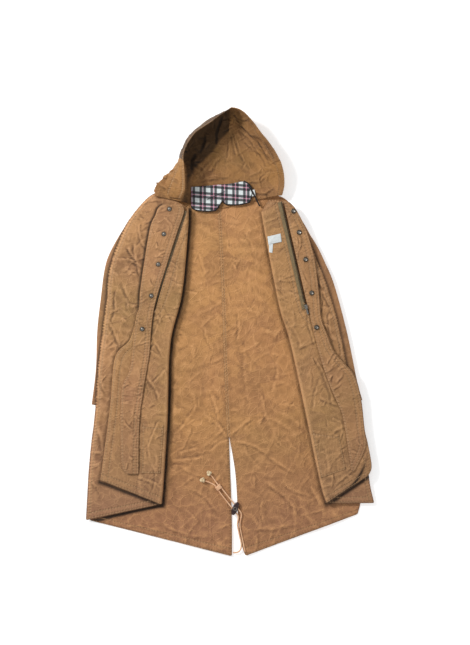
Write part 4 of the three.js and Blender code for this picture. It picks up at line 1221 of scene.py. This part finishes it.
def makeBand(s):
    upper, lower = rail(s["upper"], 80), rail(s["lower"], 80)
    piece, u, t = grid("neckBand", 60, 26)
    a, b = between(upper, u), between(lower, u)
    co = np.column_stack([(a * (1 - t[:, None]) + b * t[:, None]) * mm, np.full(len(u), s["lift"] * mm)])
    place(piece, co)
    storeVector(piece, "seamPlace", np.column_stack([co[:, 0], co[:, 1] + 0.08 * co[:, 0], t * 0]))
    storeVector(piece, "hemPlace", np.zeros((len(u), 3)))
    refine(piece)
    co = points(piece)
    folds = [(*s["pleat"], 4, 3.2, 0.95), (*s["notch"], 4, 2.6, 0.95), (10, 432, 34, 384, 5, 2.0, 0.25),
             (-100, 410, -60, 366, 5, 1.6, 0.2), (-10, 400, 50, 396, 4, 1.4, 0.3)]
    rise, paintedShade = creases(co, folds)
    co[:, 2] += (rise + 1.4 * noiseAt(co, 16.0, 81) + 0.4 * ridgesAt(co, 20.0, 82)) * mm
    co[:, 2] = np.maximum(co[:, 2], 0.0086)
    place(piece, co)
    # painted shade in the pleat and notch folds and a painted shadow along the band's edge beside the hood's wall
    paintedShade = paintedShade * 0.5 + nearLine(co, rail([s["pleat"][:2], s["pleat"][2:]], 12), 1.9)
    paintedShade += nearLine(co, rail([s["notch"][:2], s["notch"][2:]], 12), 2.4)
    paintedShade += 0.6 * nearLine(co, rail([(-115, 424), (-114, 366)], 12), 6.0)
    if normals(piece)[:, 2].mean() < 0:
        piece.data.flip_normals()
    finishSheet(piece, "hood", checkedCloth(), ("neck_band",), thickness=1.0, shadeAndSeamDark=paintedShade)
    pipe = np.column_stack([lower, np.full(len(lower), s["lift"] + 0.4)])
    side = np.column_stack([rail([s["lower"][-1], (62, 396), s["upper"][-1], (54, 432), (40, 441)], 20), np.full(20, s["lift"] + 0.4)])
    piping = tube("neckPiping", np.vstack([pipe, side[1:]]), s["pipeRadius"], blackBinding)
    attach(piping, "hood")
    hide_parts("neck_piping")
    strap = tube("hangLoop", rail(s["strap"], 24), 2.2, blackBinding)
    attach(strap, "hood")
    return piece


band = makeBand(bandSettings)
print("neck band ready")


# ---------------------------------------------------------------- labels and inner pockets
paperWhite = plainCloth("blankLabel", srgb(226, 230, 228), srgb(206, 212, 212), 500.0)
labelSettings = {
    "mainLabel": {"corners": [(108, 279), (146, 288), (149, 264), (111, 256)], "node": "main_label", "over": leftFront,
                  "body": "left_front", "lift": 1.2},
    "careLabel": {"corners": [(112, 257), (124, 258), (122, 232), (113, 234)], "node": "care_label", "over": leftFront,
                  "body": "left_front", "lift": 0.8},
    "sizeTab": {"corners": bandSettings["tab"], "node": "size_tab", "over": None, "body": "hood", "lift": 11.5},
}
pocketSettings = {
    "rightInnerPocket": {"corners": [(-252, -258), (-190, -262), (-200, -402), (-254, -402)], "node": "right_inner_pocket",
                         "over": rightFront, "body": "right_front", "lift": 0.9},
    "leftInnerPocket": {"corners": [(236, -276), (314, -290), (334, -390), (262, -416)], "node": "left_inner_pocket",
                        "over": leftFront, "body": "left_front", "lift": 0.9},
}


def makePatch(name, s, across, along, material, seams):
    a, b, c, d = (np.array(p, float) * grade for p in s["corners"])
    piece, u, t = ruled(name, rail([a / grade, d / grade], 20), rail([b / grade, c / grade], 20), across, along, 0)
    co = points(piece)
    under = heightUnder(s["over"], co[:, :2], 0.0235) if s["over"] else np.zeros(len(co))
    bend = 0.5 * noiseAt(co, 25.0, 91)
    co[:, 2] = under + (s["lift"] + np.abs(bend)) * mm
    place(piece, co)
    finishSheet(piece, s["body"], material, (s["node"],),
                thickness=0.7)
    return piece


for name, s in labelSettings.items():
    makePatch(name, s, 12, 14, paperWhite, ())
for name, s in pocketSettings.items():
    cloth = waxedCotton(name + "Cloth", *tan["inside"], seams=(("left", 0.003), ("right", 0.003), ("hem", 0.003), ("top", 0.012)))
    makePatch(name, s, 26, 44, cloth, ())
print("labels and pockets ready")


# ---------------------------------------------------------------- zips
agedMetal = wornMetal("agedMetal", srgb(98, 90, 80), srgb(58, 52, 46), 0.4)
paleMetalAndHighlight = wornMetal("paleMetalAndHighlight", srgb(170, 166, 158), srgb(92, 84, 76), 0.3)
zipTape = plainCloth("zipTape", srgb(140, 120, 86), srgb(112, 96, 70), 260.0)
zipSettings = {
    "right": {"top": (-124, 352), "bottom": (-219, 68), "shift": 3.0, "tapeSide": 1, "body": "right_front"},
    "left": {"top": (149, 380), "bottom": (220, 71), "shift": 0.0, "tapeSide": -1, "body": "left_front"},
    "tapeWidth": 12.0, "tapeLift": 27.0, "pitch": 3.0, "tooth": (3.4, 1.5, 1.6), "teethLift": 27.8,
}


def boxAt(bm, size, where, turn=0.0, bevel=0.0):
    made = bmesh.ops.create_cube(bm, size=1.0, matrix=Matrix.Translation(Vector(where) * mm)
                                 @ Matrix.Rotation(turn, 4, "Z") @ Matrix.Diagonal((*(v * mm for v in size), 1)))
    if bevel:
        edges = list({e for v in made["verts"] for e in v.link_edges})
        bmesh.ops.bevel(bm, geom=edges, offset=bevel * mm, segments=3, profile=0.5, affect="EDGES", material=-1)
    return made


def makeZip(side, s):
    z = s[side]
    top, bottom = np.array(z["top"], float) * grade, np.array(z["bottom"], float) * grade
    run = (bottom - top) / np.linalg.norm(bottom - top)
    across = np.array([-run[1], run[0]]) * z["tapeSide"] * -1
    if side == "left":
        across = np.array([run[1], -run[0]])
    start, end = top + across * z["shift"] * 0, bottom
    inner = [start, end]
    outer = [start + across * s["tapeWidth"], end + across * s["tapeWidth"]]
    piece, u, t = ruled(side + "ZipTape", rail([p / grade for p in inner], 30), rail([p / grade for p in outer], 30), 8, 90, 0)
    co = points(piece)
    under = heightUnder(rightFront if side == "right" else leftFront, co[:, :2], 0.0235)
    co[:, 2] = np.maximum(under + 0.5 * mm, 0.0)
    place(piece, co)
    if normals(piece)[:, 2].mean() < 0:
        piece.data.flip_normals()
    finishSheet(piece, z["body"], zipTape, (side + "_zip_tape",), thickness=0.6)
    bm = bmesh.new()
    length = np.linalg.norm(end - start)
    angle = math.atan2(run[1], run[0])
    n = int(length / s["pitch"])
    spots = np.array([start + run * (k + 0.5) * s["pitch"] + across * 1.4 for k in range(n)])
    under = heightUnder(piece, spots * mm, 0.0245)
    for spot, low in zip(spots, under):
        boxAt(bm, (s["tooth"][1], s["tooth"][0], s["tooth"][2]), (*spot, low / mm + 0.7), angle)
    teeth = meshObject(side + "ZipTeeth", bm)
    teeth.data.materials.append(agedMetal)
    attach(teeth, z["body"])
    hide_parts(side + "_zip_teeth")


makeZip("right", zipSettings)
makeZip("left", zipSettings)


def makeSlider():
    low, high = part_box("zip_slider")
    centre = (low + high) / 2 / mm
    turn = math.atan2(0.9746, -0.22394) - math.pi / 2
    bm = bmesh.new()
    boxAt(bm, (8.5, 12, 1.6), (centre.x, centre.y, high.z / mm - 0.8), turn, 0.6)
    boxAt(bm, (8.5, 12, 1.4), (centre.x, centre.y, low.z / mm + 0.7), turn, 0.5)
    boxAt(bm, (3.0, 8.5, 3.4), (centre.x, centre.y, (low.z + high.z) / 2 / mm), turn, 0.4)
    piece = meshObject("slider", bm)
    piece.data.materials.append(paleMetalAndHighlight)
    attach(piece, "zip_slider")
    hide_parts("zip_slider")
    low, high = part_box("zip_pull")
    centre = (low + high) / 2 / mm
    bm = bmesh.new()
    boxAt(bm, (5.0, 22, 1.5), (*centre.xy, (low.z + high.z) / 2 / mm - 0.2), turn, 0.5)
    pull = meshObject("pullTab", bm)
    pull.data.materials.append(paleMetalAndHighlight)
    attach(pull, "zip_pull")
    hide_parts("zip_pull")
    low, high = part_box("zip_box")
    bm = bmesh.new()
    centre = (low + high) / 2 / mm
    boxAt(bm, (7.5, 9, (high.z - low.z) / mm), centre, turn, 0.6)
    box = meshObject("zipBox", bm)
    box.data.materials.append(agedMetal)
    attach(box, "left_front")
    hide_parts("zip_box")


makeSlider()
print("zips ready")


# ---------------------------------------------------------------- snaps
snapSettings = {
    "stud": [(6.6, 0.0), (6.6, 0.7), (5.9, 1.2), (4.6, 1.0), (3.4, 0.7), (2.7, 0.9), (2.5, 2.5), (1.9, 3.0), (0.0, 3.1)],
    "socket": [(7.0, 0.0), (7.1, 0.9), (6.5, 1.7), (5.2, 2.0), (4.1, 1.7), (3.3, 1.1), (2.6, 0.6), (0.0, 0.5)],
}


def makeSnap(name, node, profile, material, body):
    low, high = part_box(node)
    centre = (low + high) / 2
    bm = bmesh.new()
    rim = [bm.verts.new((r * mm, 0, z * mm)) for r, z in profile]
    edges = [bm.edges.new(pair) for pair in zip(rim[:-1], rim[1:])]
    bmesh.ops.spin(bm, geom=rim + edges, cent=(0, 0, 0), axis=(0, 0, 1), angle=2 * math.pi, steps=40, use_merge=True)
    bmesh.ops.remove_doubles(bm, verts=bm.verts, dist=1e-6)
    bmesh.ops.recalc_face_normals(bm, faces=bm.faces)
    bmesh.ops.translate(bm, verts=bm.verts, vec=(centre.x, centre.y, low.z - 0.0004))
    piece = meshObject(name, bm, smooth=True)
    piece.data.materials.append(material)
    # the centre disc takes the pale metal as a painted highlight on each snap; slider, pull and eyelet use it as real
    # pale metal
    piece.data.materials.append(paleMetalAndHighlight)
    for face in piece.data.polygons:
        face.material_index = int((face.center.xy - centre.xy).length < 4.2 * mm)
    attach(piece, body)
    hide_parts(node)


for n in range(1, 6):
    makeSnap(f"stud{n}", f"snap_stud_{n}", snapSettings["stud"], agedMetal, "right_front")
    makeSnap(f"socket{n}", f"snap_socket_{n}", snapSettings["socket"], agedMetal, "storm_flap")
print("snaps ready")


# ---------------------------------------------------------------- drawcords, lock and knots
cordSettings = {
    "diameter": 4.0, "lock": (15, -506), "alongX": -0.6198, "alongY": 0.7848,
    "right": [(8.5, -634, 6.4), (16, -635, 5.4), (26, -633, 5.6), (33, -622, 6.6), (33, -606, 6.6), (28, -586, 6.6),
              (24, -566, 6.6), (20, -550, 6.9), "lock"],
    "left": [(44, -631, 6.4), (41, -620, 6.6), (38.5, -606, 6.6), (34, -586, 6.6), (30, -566, 6.6), (27.5, -548, 6.9), "lock"],
    "pastLock": [(-26, 6, 8.2), (-14, 6, 9.3), (0, 6, 9.3), (35.35, 6, 9.3), (70.7, 6, 9.3)],
    "rightEnd": [(86.2, -3.4, 9.3), (94.2, -6, 8), (106.2, -12, 6.6), (116.2, -19, 6.6)],
    "leftEnd": [(86.2, 3.4, 9.3), (94.2, 4, 8), (108.2, 5, 6.6), (120.2, 4, 6.6)],
    "endKnot": 7.8, "wrapAt": 78.0, "wrapTurns": 4, "wrapRadius": 7.6,
}
cordTan = cordFinish("cordTan", srgb(240, 196, 156), srgb(222, 168, 126))
cordPale = cordFinish("cordPale", srgb(232, 214, 176), srgb(214, 184, 142))


def nearLock(s, along, across, z):
    return (s["lock"][0] + along * s["alongX"] + across * s["alongY"],
            s["lock"][1] + along * s["alongY"] - across * s["alongX"], z)


def cordCurve(name, route, radius, material):
    curve = bpy.data.curves.new(name, "CURVE")
    curve.dimensions = "3D"
    curve.bevel_depth = radius * mm
    curve.bevel_resolution = 6
    curve.use_fill_caps = True
    curve.resolution_u = 8
    spline = curve.splines.new("NURBS")
    spline.points.add(len(route) - 1)
    for point, spot in zip(spline.points, route):
        point.co = (spot[0] * grade[0] * mm, spot[1] * grade[1] * mm, spot[2] * mm, 1)
    spline.order_u = 4
    spline.use_endpoint_u = True
    piece = bpy.data.objects.new(name, curve)
    scene.collection.objects.link(piece)
    curve.materials.append(material)
    return piece


def trefoil(s, centre, size, flat, spin, count=34):
    """"""
    out = []
    for k in range(count):
        a = 2 * math.pi * k / (count - 1)
        x = (math.sin(a) + 2 * math.sin(2 * a)) * size / 3
        y = (math.cos(a) - 2 * math.cos(2 * a)) * size / 3
        out.append((centre[0] + x * math.cos(spin) - y * math.sin(spin),
                    centre[1] + x * math.sin(spin) + y * math.cos(spin),
                    centre[2] - math.sin(3 * a) * flat))
    return out


def makeCords(s):
    made = []
    for side, sign in (("right", -1), ("left", 1)):
        route = [p for p in s[side] if p != "lock"]
        route += [nearLock(s, a, b * sign, z) for a, b, z in s["pastLock"]]
        route += [nearLock(s, *p) for p in s[side + "End"]]
        knotAt = nearLock(s, s[side + "End"][-1][0] + s["endKnot"] * 0.9,
                          s[side + "End"][-1][1] + (-4 if side == "right" else 0), 9.4)
        cord = cordCurve(side + "Cord", route, s["diameter"] / 2, cordTan)
        knot = cordCurve(side + "EndKnot", trefoil(s, knotAt, 5.4, 2.4, 0.6 if side == "right" else 1.7), 2.9, cordPale)
        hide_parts(f"drawcord_{side}_knot")
        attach(knot, "back")
        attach(cord, "back")
        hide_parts(f"drawcord_{side}", f"drawcord_{side}_tip")
        length = sum(math.dist(a, b) for a, b in zip(route[:-1], route[1:])) * mm
        made.append((cord, knot, route, length))
    wrap = []
    count = 12 * s["wrapTurns"]
    for k in range(count + 1):
        a = 2 * math.pi * k / 12
        along = s["wrapAt"] - 5.4 + 10.8 * k / count
        wrap.append(nearLock(s, along, s["wrapRadius"] * math.cos(a), 9.4 + 3.9 * math.sin(a)))
    knot = cordCurve("wrapKnot", wrap, 1.9, cordTan)
    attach(knot, "back")
    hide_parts("cord_wrap_knot")
    for n, (cord, tip, route, length) in enumerate(made):
        start = Vector((route[0][0] * grade[0], route[0][1] * grade[1], route[0][2])) * mm
        [tip, knot] if n == 0 else [tip]


makeCords(cordSettings)


def makeLock(s):
    low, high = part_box("cord_lock")
    centre = (low + high) / 2
    turn = math.radians(67)
    bm = bmesh.new()
    outline = []
    for k in range(40):
        a = 2 * math.pi * k / 40
        x = 12.0 * (1 if math.cos(a) > 0 else -1) * abs(math.cos(a)) ** 0.7 + 8.0 * math.cos(a)
        y = 8.0 * math.sin(a)
        outline.append(bm.verts.new((x * mm, y * mm, 0)))
    face = bm.faces.new(outline)
    made = bmesh.ops.extrude_face_region(bm, geom=[face])
    top = [v for v in made["geom"] if isinstance(v, bmesh.types.BMVert)]
    bmesh.ops.translate(bm, verts=top, vec=(0, 0, high.z - low.z))
    bmesh.ops.recalc_face_normals(bm, faces=bm.faces)
    rim = [e for e in bm.edges if abs(e.verts[0].co.z - e.verts[1].co.z) < 1e-6]
    bmesh.ops.bevel(bm, geom=rim, offset=2.6 * mm, segments=5, profile=0.5, affect="EDGES", material=-1)
    bmesh.ops.rotate(bm, verts=bm.verts, cent=(0, 0, 0), matrix=Matrix.Rotation(turn, 3, "Z"))
    bmesh.ops.translate(bm, verts=bm.verts, vec=(centre.x, centre.y, low.z))
    lock = meshObject("cordLock", bm, smooth=True)
    lock.data.materials.append(smoothHorn())
    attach(lock, "cord_lock")
    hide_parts("cord_lock")
    ring = []
    for k in range(33):
        a = 2 * math.pi * k / 32
        ring.append((centre.x / mm + 4.6 * math.cos(a), centre.y / mm + 4.6 * math.sin(a), high.z / mm + 0.2))
    eyelet = tube("lockRing", ring, 1.0, paleMetalAndHighlight)
    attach(eyelet, "cord_lock")


makeLock(cordSettings)
print("cords ready")
